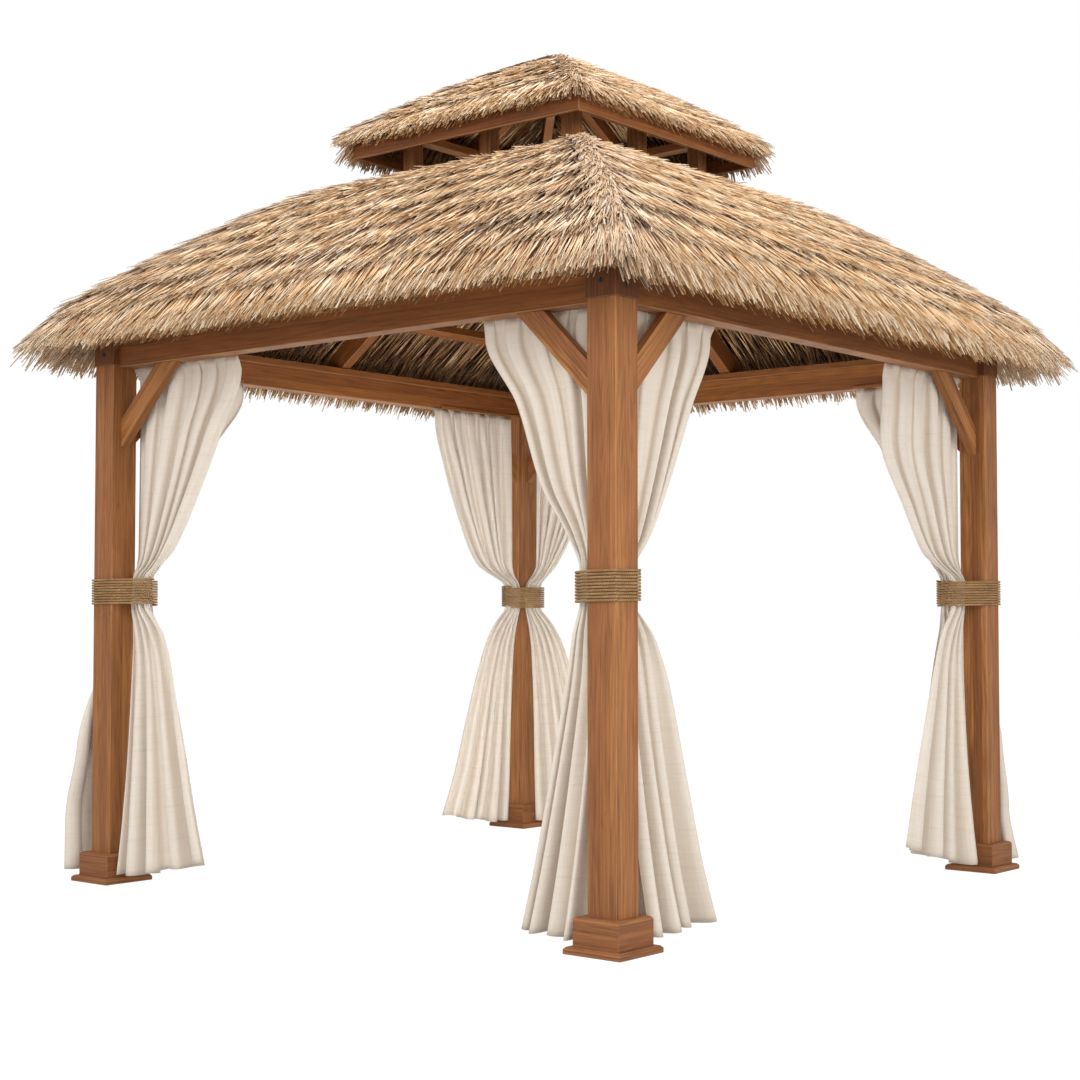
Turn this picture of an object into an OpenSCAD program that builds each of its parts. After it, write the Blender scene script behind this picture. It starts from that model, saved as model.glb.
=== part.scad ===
// Square thatched gazebo with a vented cupola, knee-braced posts and tied-back curtains.
// Millimetres. The origin is on the ground at the centre. South is -Y and east is +X.

/* [Posts] */
// Distance between the centres of two neighbouring posts
post_spacing = 3080; // [2600:10:4000]
// Width of a square post
post_w = 140; // [100:1:160]
// Height of the shoulder that the corner cap sits on
post_top = 2510; // [2300:10:2900]
// Width of the stub tenon on a post
post_tenon_w = 60; // [40:1:70]
// Height of the stub tenon on a post
post_tenon_h = 30; // [15:1:34]

/* [Bases] */
// Width of the square base plate
base_w = 276; // [240:1:340]
// Thickness of the base plate
base_t = 28; // [20:1:40]
// Chamfer round the top of the base plate
base_chamfer = 9; // [3:1:14]
// Width of the plinth collar round the post
plinth_w = 221; // [190:1:236]
// Height of the plinth collar
plinth_h = 112; // [70:1:180]
// Height of the bevel on top of the plinth collar
plinth_bevel = 9; // [4:1:20]
// How far the bevel on top of the plinth collar runs in
plinth_bevel_in = 13.5; // [4:0.5:24]
// Clearance between a collar and its post, round every tenon and bolt, and in every mitre
fit_gap = 0.3; // [0.1:0.1:1]

/* [Beams and braces] */
// Width of the square corner cap
cap_w = 150; // [142:1:180]
// Height of the corner cap
cap_h = 112; // [100:1:150]
// Thickness of a perimeter beam
beam_t = 84; // [60:1:110]
// How far a beam reaches below the corner caps
beam_drop = 10; // [0:1:30]
// Thickness of a beam's stub tenon
beam_tenon_t = 40; // [20:1:50]
// Height of a beam's stub tenon
beam_tenon_h = 60; // [40:1:70]
// Length of a beam's stub tenon
beam_tenon_l = 30; // [15:1:36]
// Thickness of the wall plate on the beams
plate_t = 35; // [20:1:60]
// Reach of a knee brace along the beam
brace_run = 400; // [300:1:600]
// Reach of a knee brace down the post
brace_drop = 392; // [260:1:520]
// Depth of a knee brace across its slope
brace_depth = 98; // [60:1:120]
// Thickness of a knee brace
brace_t = 46; // [30:1:50]

/* [Main roof] */
// Slope of the main roof in degrees
pitch = 35; // [31:1:38]
// Height of the rafter tops over the wall plate, above the post centres
rafter_heel = 118; // [100:1:140]
// Depth of a common rafter across its slope
rafter_depth = 110; // [85:1:120]
// Width of a common rafter
rafter_w = 60; // [40:1:90]
// Width of a hip rafter
hip_w = 70; // [50:1:100]
// Plumb depth of a hip rafter
hip_depth = 150; // [120:1:170]
// Reach of the rafter tails beyond the post centres
tail_overhang = 150; // [120:1:190]
// How far the tails of the hip rafters stop short of the eave boards
hip_tail_short = 30; // [10:1:50]
// Thickness of the eave board
eave_board_t = 24; // [16:1:30]
// Height of the eave board
eave_board_h = 46; // [40:1:110]
// Distance of the lower purlins from the roof's centre
purlin_low = 1330; // [1180:10:1400]
// Distance of the upper purlins from the roof's centre
purlin_high = 960; // [760:10:1100]
// Width of a purlin along the slope
purlin_w = 50; // [30:1:80]
// Depth of a purlin across the slope
purlin_d = 60; // [40:1:80]

/* [Cupola] */
// Half the outside width of the curb under the cupola
curb_half = 545; // [460:5:640]
// Thickness of the curb boards and of the plates above them
curb_w = 70; // [60:1:90]
// How far the curb stands above the rafters
curb_stand = 30; // [20:1:60]
// How far the curb hangs below the rafters
curb_lip = 25; // [5:1:60]
// Width of a square cupola post
cupola_post_w = 70; // [50:1:90]
// Height of the cupola posts
vent_h = 165; // [120:5:260]
// Thickness of the plates on the cupola posts
cupola_plate_t = 40; // [25:1:60]
// Slope of the cupola roof in degrees
cupola_pitch = 31; // [28:1:34]
// Height of the cupola rafter tops over the plates, above the posts
cupola_heel = 82; // [74:1:90]
// Plumb depth of the cupola rafters
cupola_rafter_depth = 80; // [74:1:95]
// Width of a cupola rafter
cupola_rafter_w = 45; // [30:1:46]
// Reach of the cupola rafters beyond the curb
cupola_overhang = 155; // [110:5:200]
// Thickness of the cupola fascia
fascia_t = 22; // [16:1:30]
// Height of the cupola fascia
fascia_h = 90; // [60:1:110]
// Half the width of the king block at the peak
king_half = 60; // [56:1:70]
// How far the king block hangs below its rafters
king_drop = 25; // [5:1:80]

/* [Thatch] */
// Courses of thatch on each main slope
main_courses = 9; // [5:1:12]
// Courses of thatch on each cupola slope
cupola_courses = 5; // [3:1:7]
// Greatest plumb thickness of the main thatch
thatch_t = 173; // [120:1:200]
// Greatest plumb thickness of the cupola thatch
cupola_thatch_t = 66; // [50:1:90]
// Reach of the main thatch beyond the eave boards
thatch_reach = 171; // [120:1:220]
// Reach of the cupola thatch beyond its fascia
cupola_thatch_reach = 68; // [50:1:90]
// Height of the cut butt of a course
course_butt = 24; // [12:1:32]
// How far the ragged tips of a course run in and out
tip_ragged = 14; // [0:1:20]
// Drop of the fringe at the main eaves
fringe_drop = 110; // [60:1:130]
// Drop of the fringe at the cupola eaves
cupola_fringe_drop = 36; // [20:1:50]

/* [Curtains] */
// Gap between a curtain's edge and the face of its post
curtain_gap = 6; // [4:1:12]
// Width along the beam of the header of the two narrower curtains, east on the south and north sides
header_w = 624; // [450:1:700]
// Width along the beam of the header of the other six curtains
wide_header_w = 704; // [450:1:780]
// Width of a header batten
batten_w = 14; // [10:1:16]
// Height of a header batten
batten_h = 18; // [12:1:30]
// Thickness of the hanging cloth's solid
cloth_t = 8; // [4:1:10]
// Height of the stiff tape that heads a curtain
header_tape = 60; // [40:5:100]
// How far the curtain's first fold lies behind its header's end
hang_in = 28; // [10:1:40]
// How far the folds swing in and out above the band
hang_fold = 30; // [15:1:40]
// Height of the hems above the ground
hem_height = 40; // [34:1:120]
// Width of the hem of the two narrower curtains
hem_w = 360; // [280:1:480]
// Width of the hem of the other six curtains
wide_hem_w = 560; // [400:1:640]
// How far a curtain's main folds swing in and out at the hem
hem_fold = 72; // [40:1:90]
// How far the hem's free edge hangs inside its beam's middle
hem_in = 40; // [20:1:60]
// Outward lean of the hem of the curtain that blows out most
hem_sway = 150; // [0:5:180]
// Gap between soft pieces and what they touch
soft_gap = 0.3; // [0.2:0.1:1]

/* [Rope bands] */
// Height of the middle of the bands
band_height = 1402; // [1200:1:1600]
// Turns of rope in a band
band_turns = 10; // [6:1:12]
// Diameter of the rope
rope_d = 11.5; // [9:0.5:14]
// Rise of the rope in one turn
rope_pitch = 12.6; // [12.6:0.1:16]
// Half the width of a gathered curtain, along its beam
bundle_along = 62; // [55:1:75]
// Half the depth of a gathered curtain, across its beam
bundle_across = 52; // [45:1:65]
// How far the middle of a gathered curtain lies inside its beam's middle
bundle_in = 50; // [20:1:60]

/* [Hardware] */
// Diameter of a corner bolt
bolt_d = 10; // [6:1:12]
// How far a bolt runs into the end of a beam
bolt_embed = 60; // [45:1:100]
// Diameter of a bolt's washer
washer_d = 24; // [20:1:34]
// Thickness of a bolt's washer
washer_t = 3; // [2:0.5:5]
// Diameter of a bolt's domed head
bolt_head_d = 16; // [14:1:18]
// Height of a bolt's head
bolt_head_h = 5; // [3:1:9]
// Height between the two bolts that cross in a cap
bolt_stagger = 14; // [13:1:18]

/* [Hidden] */
CORNERS = ["se", "ne", "nw", "sw"];
SIDES = ["s", "e", "n", "w"];
ENDS = ["s_east", "s_west", "e_north", "e_south", "n_west", "n_east", "w_south", "w_north"];

$fn = 32;
// How far a cut runs past the face it opens, and a tenon's root into its timber
run_past = 1;
post_half = post_w / 2;
half = post_spacing / 2;
cap_half = cap_w / 2;

// Heights of the frame, from the post shoulders up
beam_bottom = post_top - beam_drop;
frame_top = post_top + cap_h;
plate_top = frame_top + plate_t;
cap_mid = post_top + cap_h / 2;

// Plan lines of the frame, measured out from the centre
beam_inner = half - beam_t / 2;
plate_outer = half + cap_half;
tail_end = half + tail_overhang;
eave_board_outer = tail_end + eave_board_t;

// Height of the plane on top of the main rafters, at a distance s from the centre
function roof_plane(s) = plate_top + rafter_heel + (half - s) * tan(pitch);
rafter_plumb = rafter_depth / cos(pitch);
eave_board_top = roof_plane(eave_board_outer);
eave_board_bottom = eave_board_top - eave_board_h;
hip_root = hip_w / 2 * sqrt(2);

// Heights and plan lines of the cupola
curb_top = roof_plane(curb_half) + curb_stand;
curb_bottom = roof_plane(curb_half) - rafter_plumb - curb_lip;
cupola_line = curb_half - curb_w / 2;
cupola_plate_bottom = curb_top + vent_h;
cupola_plate_top = cupola_plate_bottom + cupola_plate_t;
cupola_end = curb_half + cupola_overhang;
fascia_outer = cupola_end + fascia_t;
function cupola_plane(s) = cupola_plate_top + cupola_heel + (cupola_line - s) * tan(cupola_pitch);
fascia_top = cupola_plane(fascia_outer);
fascia_bottom = fascia_top - fascia_h;
king_top = cupola_plane(king_half);

// Fineness of the thatch, the curtains and the rope
main_columns = 24;
cupola_columns = 12;
folds = 5;
wrap_steps = 12;
wrap_start = 8;
rope_sides = 6;
bundle_fill = 0.88;

// Share of the thatch's thickness that its bulging outline loses at the thin end, and where
// between the top (0) and the eave (1) it is thickest
main_thinning = 0.97;
cupola_thinning = 0.62;
thickest_at = 0.56;
// Degrees that the wave of ragged tips turns from one column, and from one course, to the next
column_turn = 137.5;
course_turn = 73;
// Half the opening where the four cupola slopes meet
peak_half = 4;

// Curtain places, measured from a post's centre: u runs along the beam and v runs inwards
header_start = post_half + curtain_gap;
batten_v = beam_t / 2 + batten_w / 2;
header_z = beam_bottom - soft_gap;
bundle_u = header_start + bundle_along;
band_h = band_turns * rope_pitch + rope_d;
band_top = band_height + band_h / 2;
band_bottom = band_height - band_h / 2;

// Widths of a curtain between its header and the band, as shares of its header
upper_share = 0.84;
lower_share = 0.57;
// Widths, fold depths and leans between the band and the hem, as shares of those at the hem
flare_w = 0.61;
flare_fold = 0.75;
flare_lean = 0.4;
skirt_w = 0.79;
skirt_fold = 0.9;
skirt_lean = 0.7;
// Lean of a curtain's free edge, as a share of the lean at its post
free_lean = 0.5;
// Lean of the curtain that blows out less, as a share of the other's
second_sway = 0.6;

// Shared shapes

// A closed skin over rings that all have the same number of points. A folded ring is one whose
// second half runs back along its first, and both its faces are split into triangles alike.
module skin(rings, folded = false) {
    n = len(rings);
    m = len(rings[0]);
    turn = folded ? m / 2 : m;
    cap = function(first) folded
        ? [for (j = [0:turn - 2]) [first + j, first + j + 1, first + m - 2 - j, first + m - 1 - j]]
        : [[for (j = [0:m - 1]) first + j]];
    split = function(a, b, c, d, j) j < turn ? [[a, b, c], [a, c, d]] : [[a, b, d], [b, c, d]];
    polyhedron(
        points = [for (ring = rings) each ring],
        faces = [
            each cap(0),
            for (face = cap((n - 1) * m)) [for (j = [len(face) - 1:-1:0]) face[j]],
            for (i = [0:n - 2], j = [0:m - 1])
                let (next = (j + 1) % m)
                each split(i * m + j, (i + 1) * m + j, (i + 1) * m + next, i * m + next, j)
        ]
    );
}

// Turns the south-east corner, or the south side, to place i
module turned(i) {
    rotate([0, 0, 90 * i]) children();
}

// Stands an outline of (distance from the centre, height) on the south side and gives it a width
module stand_out(width) {
    rotate([90, 0, -90]) linear_extrude(width, center = true) children();
}

// One of four boards that meet in mitres round a square, with a hairline joint
module mitred_board(outer, width, bottom, top) {
    inner = outer - width;
    long = outer - fit_gap / 2;
    short = inner - fit_gap / 2;
    translate([0, 0, bottom])
        linear_extrude(top - bottom)
            polygon([[-long, -outer], [long, -outer], [short, -inner], [-short, -inner]]);
}

// Square ring, as the four mitred boards together
module square_ring(outer, width, bottom, top) {
    for (i = [0:3]) turned(i) mitred_board(outer, width, bottom, top);
}

// A square block about a vertical axis, from one height to another
module block(width, bottom, top) {
    translate([-width / 2, -width / 2, bottom]) cube([width, width, top - bottom]);
}

// Bases and posts

module base_plate(i) {
    color("sienna") turned(i) translate([half, -half, 0]) hull() {
        block(base_w, 0, base_t - base_chamfer);
        block(base_w - 2 * base_chamfer, 0, base_t);
    }
}

module plinth(i) {
    color("sienna") turned(i) translate([half, -half, 0]) difference() {
        hull() {
            block(plinth_w, base_t, base_t + plinth_h - plinth_bevel);
            block(plinth_w - 2 * plinth_bevel_in, base_t, base_t + plinth_h);
        }
        block(post_w + 2 * fit_gap, base_t - run_past, base_t + plinth_h + run_past);
    }
}

module post(i) {
    color("peru") turned(i) translate([half, -half, 0]) {
        block(post_w, base_t, post_top);
        block(post_tenon_w, post_top - run_past, post_top + post_tenon_h);
    }
}

// Corner caps, beams and braces

// The two crossing bolts of the south-east cap, grown by a clearance
module bolt_shanks(grow) {
    reach = cap_w + bolt_embed + grow;
    translate([0, -cap_half, cap_mid + bolt_stagger / 2])
        rotate([-90, 0, 0]) cylinder(d = bolt_d + 2 * grow, h = reach);
    translate([cap_half, 0, cap_mid - bolt_stagger / 2])
        rotate([0, -90, 0]) cylinder(d = bolt_d + 2 * grow, h = reach);
}

// Stub tenon of the south beam at the south-east cap, rooted a little way into the beam
module beam_tenon(grow) {
    height = beam_tenon_h + 2 * grow;
    translate([-cap_half - run_past, -beam_tenon_t / 2 - grow, cap_mid - height / 2])
        cube([beam_tenon_l + run_past + grow, beam_tenon_t + 2 * grow, height]);
}

module corner_cap(i) {
    color("saddlebrown") turned(i) translate([half, -half, 0]) difference() {
        block(cap_w, post_top, frame_top);
        block(post_tenon_w + 2 * fit_gap, post_top - run_past, post_top + post_tenon_h + fit_gap);
        beam_tenon(fit_gap);
        rotate([0, 0, -90]) beam_tenon(fit_gap);
        bolt_shanks(fit_gap);
    }
}

module beam(i) {
    length = post_spacing - cap_w;
    color("peru") turned(i) difference() {
        union() {
            translate([-length / 2, -half - beam_t / 2, beam_bottom])
                cube([length, beam_t, frame_top - beam_bottom]);
            for (flip = [0, 1]) mirror([flip, 0, 0]) translate([half, -half, 0]) beam_tenon(0);
        }
        translate([half, -half, 0]) bolt_shanks(fit_gap);
        rotate([0, 0, -90]) translate([half, -half, 0]) bolt_shanks(fit_gap);
    }
}

module cap_bolts() {
    color("dimgray") for (i = [0:3]) turned(i) translate([half, -half, 0]) {
        bolt_shanks(0);
        translate([0, -cap_half, cap_mid + bolt_stagger / 2]) rotate([90, 0, 0]) bolt_head();
        translate([cap_half, 0, cap_mid - bolt_stagger / 2]) rotate([0, 90, 0]) bolt_head();
    }
}

module bolt_head() {
    cylinder(d = washer_d, h = washer_t);
    cylinder(d = bolt_head_d, h = washer_t + bolt_head_h / 2);
    cylinder(d = bolt_head_d - bolt_head_h / 2, h = washer_t + bolt_head_h);
}

// Knee brace beside the east post of a side, or the west post when flipped
module brace(i, flip) {
    slope = atan2(brace_drop, brace_run);
    inner_run = brace_run - brace_depth / sin(slope);
    inner_drop = brace_drop - brace_depth / cos(slope);
    color("peru") turned(i) mirror([flip, 0, 0])
        translate([half - post_half, -half + brace_t / 2, beam_bottom])
            rotate([90, 0, 0])
                linear_extrude(brace_t)
                    polygon([[0, -brace_drop], [-brace_run, 0], [-inner_run, 0], [0, -inner_drop]]);
}

module wall_plates() {
    color("saddlebrown") square_ring(plate_outer, plate_outer - beam_inner, frame_top, plate_top);
}

// Main roof frame

// Outline of a rafter between two plan lines, under the plane that passes through rafter tops
module common_outline() {
    reach = tail_end - curb_half;
    difference() {
        intersection() {
            polygon([
                [curb_half, roof_plane(curb_half)], [tail_end, roof_plane(tail_end)],
                [tail_end, roof_plane(tail_end) - rafter_plumb],
                [curb_half, roof_plane(curb_half) - rafter_plumb]
            ]);
            translate([curb_half, eave_board_bottom]) square([reach, curb_top]);
        }
        translate([beam_inner, 0]) square([plate_outer - beam_inner, plate_top]);
    }
}

module common_rafters() {
    color("peru") for (i = [0:3]) turned(i) stand_out(rafter_w) common_outline();
}

// Outline of a main hip rafter, along the diagonal
module hip_outline() {
    drop = hip_root / 2 * tan(pitch);
    start = curb_half - hip_root;
    end = tail_end - hip_tail_short;
    difference() {
        polygon([
            [start * sqrt(2), roof_plane(start) - drop], [end * sqrt(2), roof_plane(end) - drop],
            [end * sqrt(2), roof_plane(end) - drop - hip_depth],
            [start * sqrt(2), roof_plane(start) - drop - hip_depth]
        ]);
        translate([(beam_inner - hip_root) * sqrt(2), 0]) square([post_spacing, plate_top]);
    }
}

module hip_rafters() {
    color("peru") for (i = [0:3]) turned(i) difference() {
        rotate([0, 0, 45]) stand_out(hip_w) hip_outline();
        block(2 * curb_half, curb_bottom, curb_top);
    }
}

// Half of a purlin, between the common rafter and the hip rafter
module half_purlin(s) {
    top = roof_plane(s);
    intersection() {
        stand_out(2 * s) translate([s, top]) rotate(-pitch)
            translate([-purlin_w, -purlin_d]) square([purlin_w, purlin_d]);
        linear_extrude(curb_top)
            polygon([
                [rafter_w / 2, -rafter_w / 2 - hip_root],
                [rafter_w / 2, -half], [half - hip_root, -half]
            ]);
    }
}

module purlins() {
    color("sienna") for (i = [0:3]) turned(i) {
        for (s = [purlin_low, purlin_high], flip = [0, 1]) mirror([flip, 0, 0]) half_purlin(s);
        mitred_board(eave_board_outer, eave_board_t, eave_board_bottom, eave_board_top);
    }
}

// Cupola frame

module roof_curb() {
    color("saddlebrown") square_ring(curb_half, curb_w, curb_bottom, curb_top);
}

module cupola_posts() {
    color("peru") for (i = [0:3]) turned(i) for (x = [0, cupola_line])
        translate([x, -cupola_line, 0]) block(cupola_post_w, curb_top, cupola_plate_bottom);
}

module cupola_plates() {
    color("saddlebrown") square_ring(curb_half, curb_w, cupola_plate_bottom, cupola_plate_top);
}

module king_block() {
    color("sienna") block(2 * king_half, king_top - cupola_rafter_depth - king_drop, king_top);
}

// Cupola rafter of a given outline stretch, lowered by a drop
module cupola_rafter_outline(start, end, stretch, drop) {
    polygon([
        [start * stretch, cupola_plane(start) - drop], [end * stretch, cupola_plane(end) - drop],
        [end * stretch, cupola_plane(end) - drop - cupola_rafter_depth],
        [start * stretch, cupola_plane(start) - drop - cupola_rafter_depth]
    ]);
}

module cupola_rafters() {
    hip_side = cupola_rafter_w / 2 / sqrt(2);
    hip_fall = hip_side * tan(cupola_pitch);
    color("peru") for (i = [0:3]) turned(i) difference() {
        union() {
            stand_out(cupola_rafter_w) cupola_rafter_outline(king_half, cupola_end, 1, 0);
            intersection() {
                rotate([0, 0, 45]) stand_out(cupola_rafter_w) cupola_rafter_outline(
                    king_half - 2 * hip_side, cupola_end + 2 * hip_side, sqrt(2), hip_fall
                );
                block(2 * cupola_end, 0, king_top);
            }
        }
        difference() {
            block(2 * curb_half, cupola_plate_bottom, cupola_plate_top);
            block(2 * (curb_half - curb_w), cupola_plate_bottom - run_past, cupola_plate_top + run_past);
        }
        block(2 * king_half, cupola_plate_top, king_top + run_past);
    }
}

module cupola_fascia() {
    color("peru") square_ring(fascia_outer, fascia_t, fascia_bottom, fascia_top);
}

// Thatch

// Share of the full thickness at a place t from the top (0) to the eave (1)
function bulge(t, edge) = 1 - edge * pow(abs(t - thickest_at) / thickest_at, 3);

// Ragged run of a course tip, still at the hips so that neighbouring slopes meet
function ragged(c, k, columns) = c == 0 || c == columns ? 0 : tip_ragged * sin(c * column_turn + k * course_turn);

// One slope of thatch in stepped courses, from plan line s0 to s1, over a plane given by its
// height at s0 and its fall, with a fringe that hangs outside a board
module thatch_slope(s0, s1, z0, fall, thick, edge, courses, columns, board, fringe) {
    base = function(s) z0 - (s - s0) * fall + soft_gap;
    top = function(s) base(s) + thick * bulge((s - s0) / (s1 - s0), edge);
    step = (s1 - s0) / courses;
    lap = course_butt / 2 + tip_ragged;
    lip = board + soft_gap;
    outline = function(c) [
        [s0, base(s0)],
        [s0, top(s0)],
        for (k = [1:courses - 1]) each [
            [s0 + k * step + ragged(c, k, columns), top(s0 + k * step)],
            [s0 + k * step - lap, top(s0 + k * step) - course_butt]
        ],
        [s1 + ragged(c, courses, columns), top(s1)],
        [(s1 + lip) / 2, top(s1) - fringe + ragged(c, courses + 1, columns)],
        [lip, base(lip) - fringe / 3],
        [lip, base(lip)]
    ];
    rings = [for (c = [0:columns]) [for (p = outline(c)) [(2 * c / columns - 1) * p[0], -p[0], p[1]]]];
    skin(rings);
}

module thatch(i) {
    color("burlywood") turned(i) thatch_slope(
        curb_half + soft_gap, eave_board_outer + thatch_reach,
        roof_plane(curb_half), tan(pitch), thatch_t, main_thinning,
        main_courses, main_columns, eave_board_outer, fringe_drop
    );
}

module cupola_thatch(i) {
    color("burlywood") turned(i) thatch_slope(
        peak_half, fascia_outer + cupola_thatch_reach,
        cupola_plane(peak_half), tan(cupola_pitch), cupola_thatch_t, cupola_thinning,
        cupola_courses, cupola_columns, fascia_outer, cupola_fringe_drop
    );
}

// Curtains

// Width of the curtain at an end, at its header and at its hem
function narrow(name) = name == "s_east" || name == "n_east";
function header_of(name) = narrow(name) ? header_w : wide_header_w;
function hem_of(name) = narrow(name) ? hem_w : wide_hem_w;

module header_battens() {
    color("sienna") for (e = [0:7]) let (width = header_of(ENDS[e])) turned(floor(e / 2)) mirror([e % 2, 0, 0])
        translate([half - header_start - width, -half + batten_v - batten_w / 2, beam_bottom])
            cube([width, batten_w, batten_h]);
}

// Middle of a curtain that hangs just inside the knee braces, with folds of a given swing
function inside_braces(swing) = brace_t / 2 + swing + cloth_t + soft_gap;

// Rows of a curtain from the header to the hem. Each row is height, first u, last u, v at the
// first and at the last edge, and swing of the folds, where a swing of 0 fills the band.
function curtain_rows(width, hem, sway) =
    let (hang_start = header_start + hang_in, hem_start = plinth_w / 2 + curtain_gap)
    let (band_start = bundle_u - bundle_along * bundle_fill, band_end = bundle_u + bundle_along * bundle_fill)
    let (header_swing = batten_w / 2 - cloth_t / 2)
    let (belly = (header_z + 2 * band_top) / 3, flare = (2 * band_bottom + hem_height) / 3)
    [
        [header_z, header_start, header_start + width, batten_v, batten_v, header_swing],
        [header_z - header_tape, hang_start, header_start + width,
            inside_braces(hang_fold), inside_braces(hang_fold), hang_fold],
        [(header_z + belly) / 2, hang_start, header_start + width * upper_share,
            inside_braces(hang_fold), inside_braces(hang_fold), hang_fold],
        [belly, hang_start, header_start + width * lower_share,
            inside_braces(hang_fold), inside_braces(hang_fold), hang_fold],
        [band_top + rope_d / 2, band_start, band_end, bundle_in, bundle_in, 0],
        [band_bottom - rope_d / 2, band_start, band_end, bundle_in, bundle_in, 0],
        [flare, header_start, header_start + hem * flare_w, bundle_in - sway * flare_lean,
            bundle_in - sway * flare_lean * free_lean, hem_fold * flare_fold],
        [(flare + hem_height) / 2, hem_start, hem_start + hem * skirt_w, -sway * skirt_lean,
            hem_in - sway * skirt_lean * free_lean, hem_fold * skirt_fold],
        [hem_height, hem_start, hem_start + hem, -hem_in - sway, hem_in - sway * free_lean, hem_fold]
    ];

// Swing of the cloth at a share f of a row's width, for fold point j
function fold_swing(row, j, f) =
    let (bundle = (bundle_across - cloth_t) * sqrt(max(0, 1 - pow(2 * f - 1, 2))) * bundle_fill)
    (j % 2 == 0 ? -1 : 1) * (row[5] > 0 ? row[5] : bundle);

// Both faces of a curtain in one row, as a loop of points round the folded cloth
function curtain_loop(row) = [
    for (face = [-1, 1], step = [0:2 * folds])
        let (j = face < 0 ? step : 2 * folds - step)
        let (f = j / (2 * folds))
        let (u = row[1] + (row[2] - row[1]) * f)
        let (v = row[3] + (row[4] - row[3]) * f)
        [-u, v + fold_swing(row, j, f) + face * cloth_t / 2, row[0]]
];

// Curtain beside the east post of a side, or the west post when flipped
module curtain(i, flip, width, hem, sway) {
    color("antiquewhite") turned(i) mirror([flip, 0, 0]) translate([half, -half, 0])
        skin([for (row = curtain_rows(width, hem, sway)) curtain_loop(row)], folded = true);
}

// Rope bands

// Points of the post and of its two gathered curtains that lie farthest in direction a, for
// the south-east corner, where the curtains lie west and north of the post
post_corners = [for (x = [-post_half, post_half], y = [-post_half, post_half]) [x, y]];
function bundle_point(centre, radii, a) =
    let (reach = norm([radii[0] * cos(a), radii[1] * sin(a)]))
    centre + [pow(radii[0], 2) * cos(a), pow(radii[1], 2) * sin(a)] / reach;
function wrap_points(a) = concat(
    post_corners,
    [
        bundle_point([-bundle_u, bundle_in], [bundle_along, bundle_across], a),
        bundle_point([-bundle_in, bundle_u], [bundle_across, bundle_along], a)
    ]
);
function farthest(points, a) =
    let (reach = [for (p = points) p * [cos(a), sin(a)]])
    points[search(max(reach), reach)[0]];

// Ring of the rope at step n of its climb round the post and its curtains
function rope_ring(n) =
    let (a = wrap_start + n * 360 / wrap_steps)
    let (at = farthest(wrap_points(a), a))
    let (out = rope_d / 2 * cos(180 / rope_sides) + 2 * soft_gap)
    let (z = band_bottom + rope_d / 2 + n * rope_pitch / wrap_steps)
    [
        for (k = [0:rope_sides - 1])
            let (b = (k + 0.5) * 360 / rope_sides)
            let (r = out + rope_d / 2 * cos(b))
            [at[0] + r * cos(a), at[1] + r * sin(a), z + rope_d / 2 * sin(b)]
    ];

rope_rings = [for (n = [0:wrap_steps * band_turns]) rope_ring(n)];

// Least gap between one turn and the next, measured between their points
rope_gaps = [
    for (n = [0:len(rope_rings) - 1 - wrap_steps], near = [-1, 0, 1])
        if (n + wrap_steps + near < len(rope_rings))
            for (p = rope_rings[n], q = rope_rings[n + wrap_steps + near]) norm(p - q)
];
echo(least_rope_gap = min(rope_gaps));

module rope_band(i) {
    color("tan") turned(i) translate([half, -half, 0]) skin(rope_rings);
}

// Outward lean of a hem, for the two curtains that do not hang straight
function sway_of(name) = name == "w_south" ? hem_sway : name == "n_east" ? hem_sway * second_sway : 0;

for (i = [0:3]) {
    base_plate(i);
    plinth(i);
    post(i);
    corner_cap(i);
    rope_band(i);
    beam(i);
    thatch(i);
    cupola_thatch(i);
}
for (e = [0:7]) {
    brace(floor(e / 2), e % 2);
    curtain(floor(e / 2), e % 2, header_of(ENDS[e]), hem_of(ENDS[e]), sway_of(ENDS[e]));
}
wall_plates();
hip_rafters();
common_rafters();
purlins();
roof_curb();
cupola_posts();
cupola_plates();
cupola_rafters();
cupola_fascia();
king_block();
header_battens();
cap_bolts();
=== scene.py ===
"""Looks of a thatched garden gazebo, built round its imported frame. Metres, +Z up."""

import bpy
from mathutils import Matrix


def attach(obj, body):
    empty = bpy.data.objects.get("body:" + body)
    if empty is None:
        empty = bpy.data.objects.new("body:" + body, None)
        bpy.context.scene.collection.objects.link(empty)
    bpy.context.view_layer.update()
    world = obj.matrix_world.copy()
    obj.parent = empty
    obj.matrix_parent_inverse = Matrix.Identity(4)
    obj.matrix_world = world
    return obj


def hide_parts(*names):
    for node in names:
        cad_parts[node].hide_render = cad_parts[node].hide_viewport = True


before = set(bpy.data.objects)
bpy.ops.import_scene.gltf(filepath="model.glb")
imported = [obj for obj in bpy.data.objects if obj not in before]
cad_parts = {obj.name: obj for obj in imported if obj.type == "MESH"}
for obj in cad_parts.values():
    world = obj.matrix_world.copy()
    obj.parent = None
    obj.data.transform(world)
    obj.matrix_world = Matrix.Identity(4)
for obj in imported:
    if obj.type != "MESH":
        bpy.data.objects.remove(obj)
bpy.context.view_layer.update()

import logging
import math
from dataclasses import dataclass
from enum import Enum
from typing import Callable, Iterable, Sequence

import bmesh
import bpy
import numpy as np
from bmesh.types import BMEdge, BMesh, BMFace, BMVert
from mathutils import Matrix, Vector

log = logging.getLogger("gazebo")

Array = np.ndarray
Rng = np.random.Generator
Colour = tuple[float, float, float, float]
WHITE: Colour = (1.0, 1.0, 1.0, 1.0)
CURTAIN_LENGTH = 2.45
CORNERS = ("se", "ne", "nw", "sw")
SIDES = ("s", "e", "n", "w")
CURTAIN_ENDS = (
    "s_east", "s_west", "e_north", "e_south",
    "n_west", "n_east", "w_south", "w_north",
)


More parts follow.
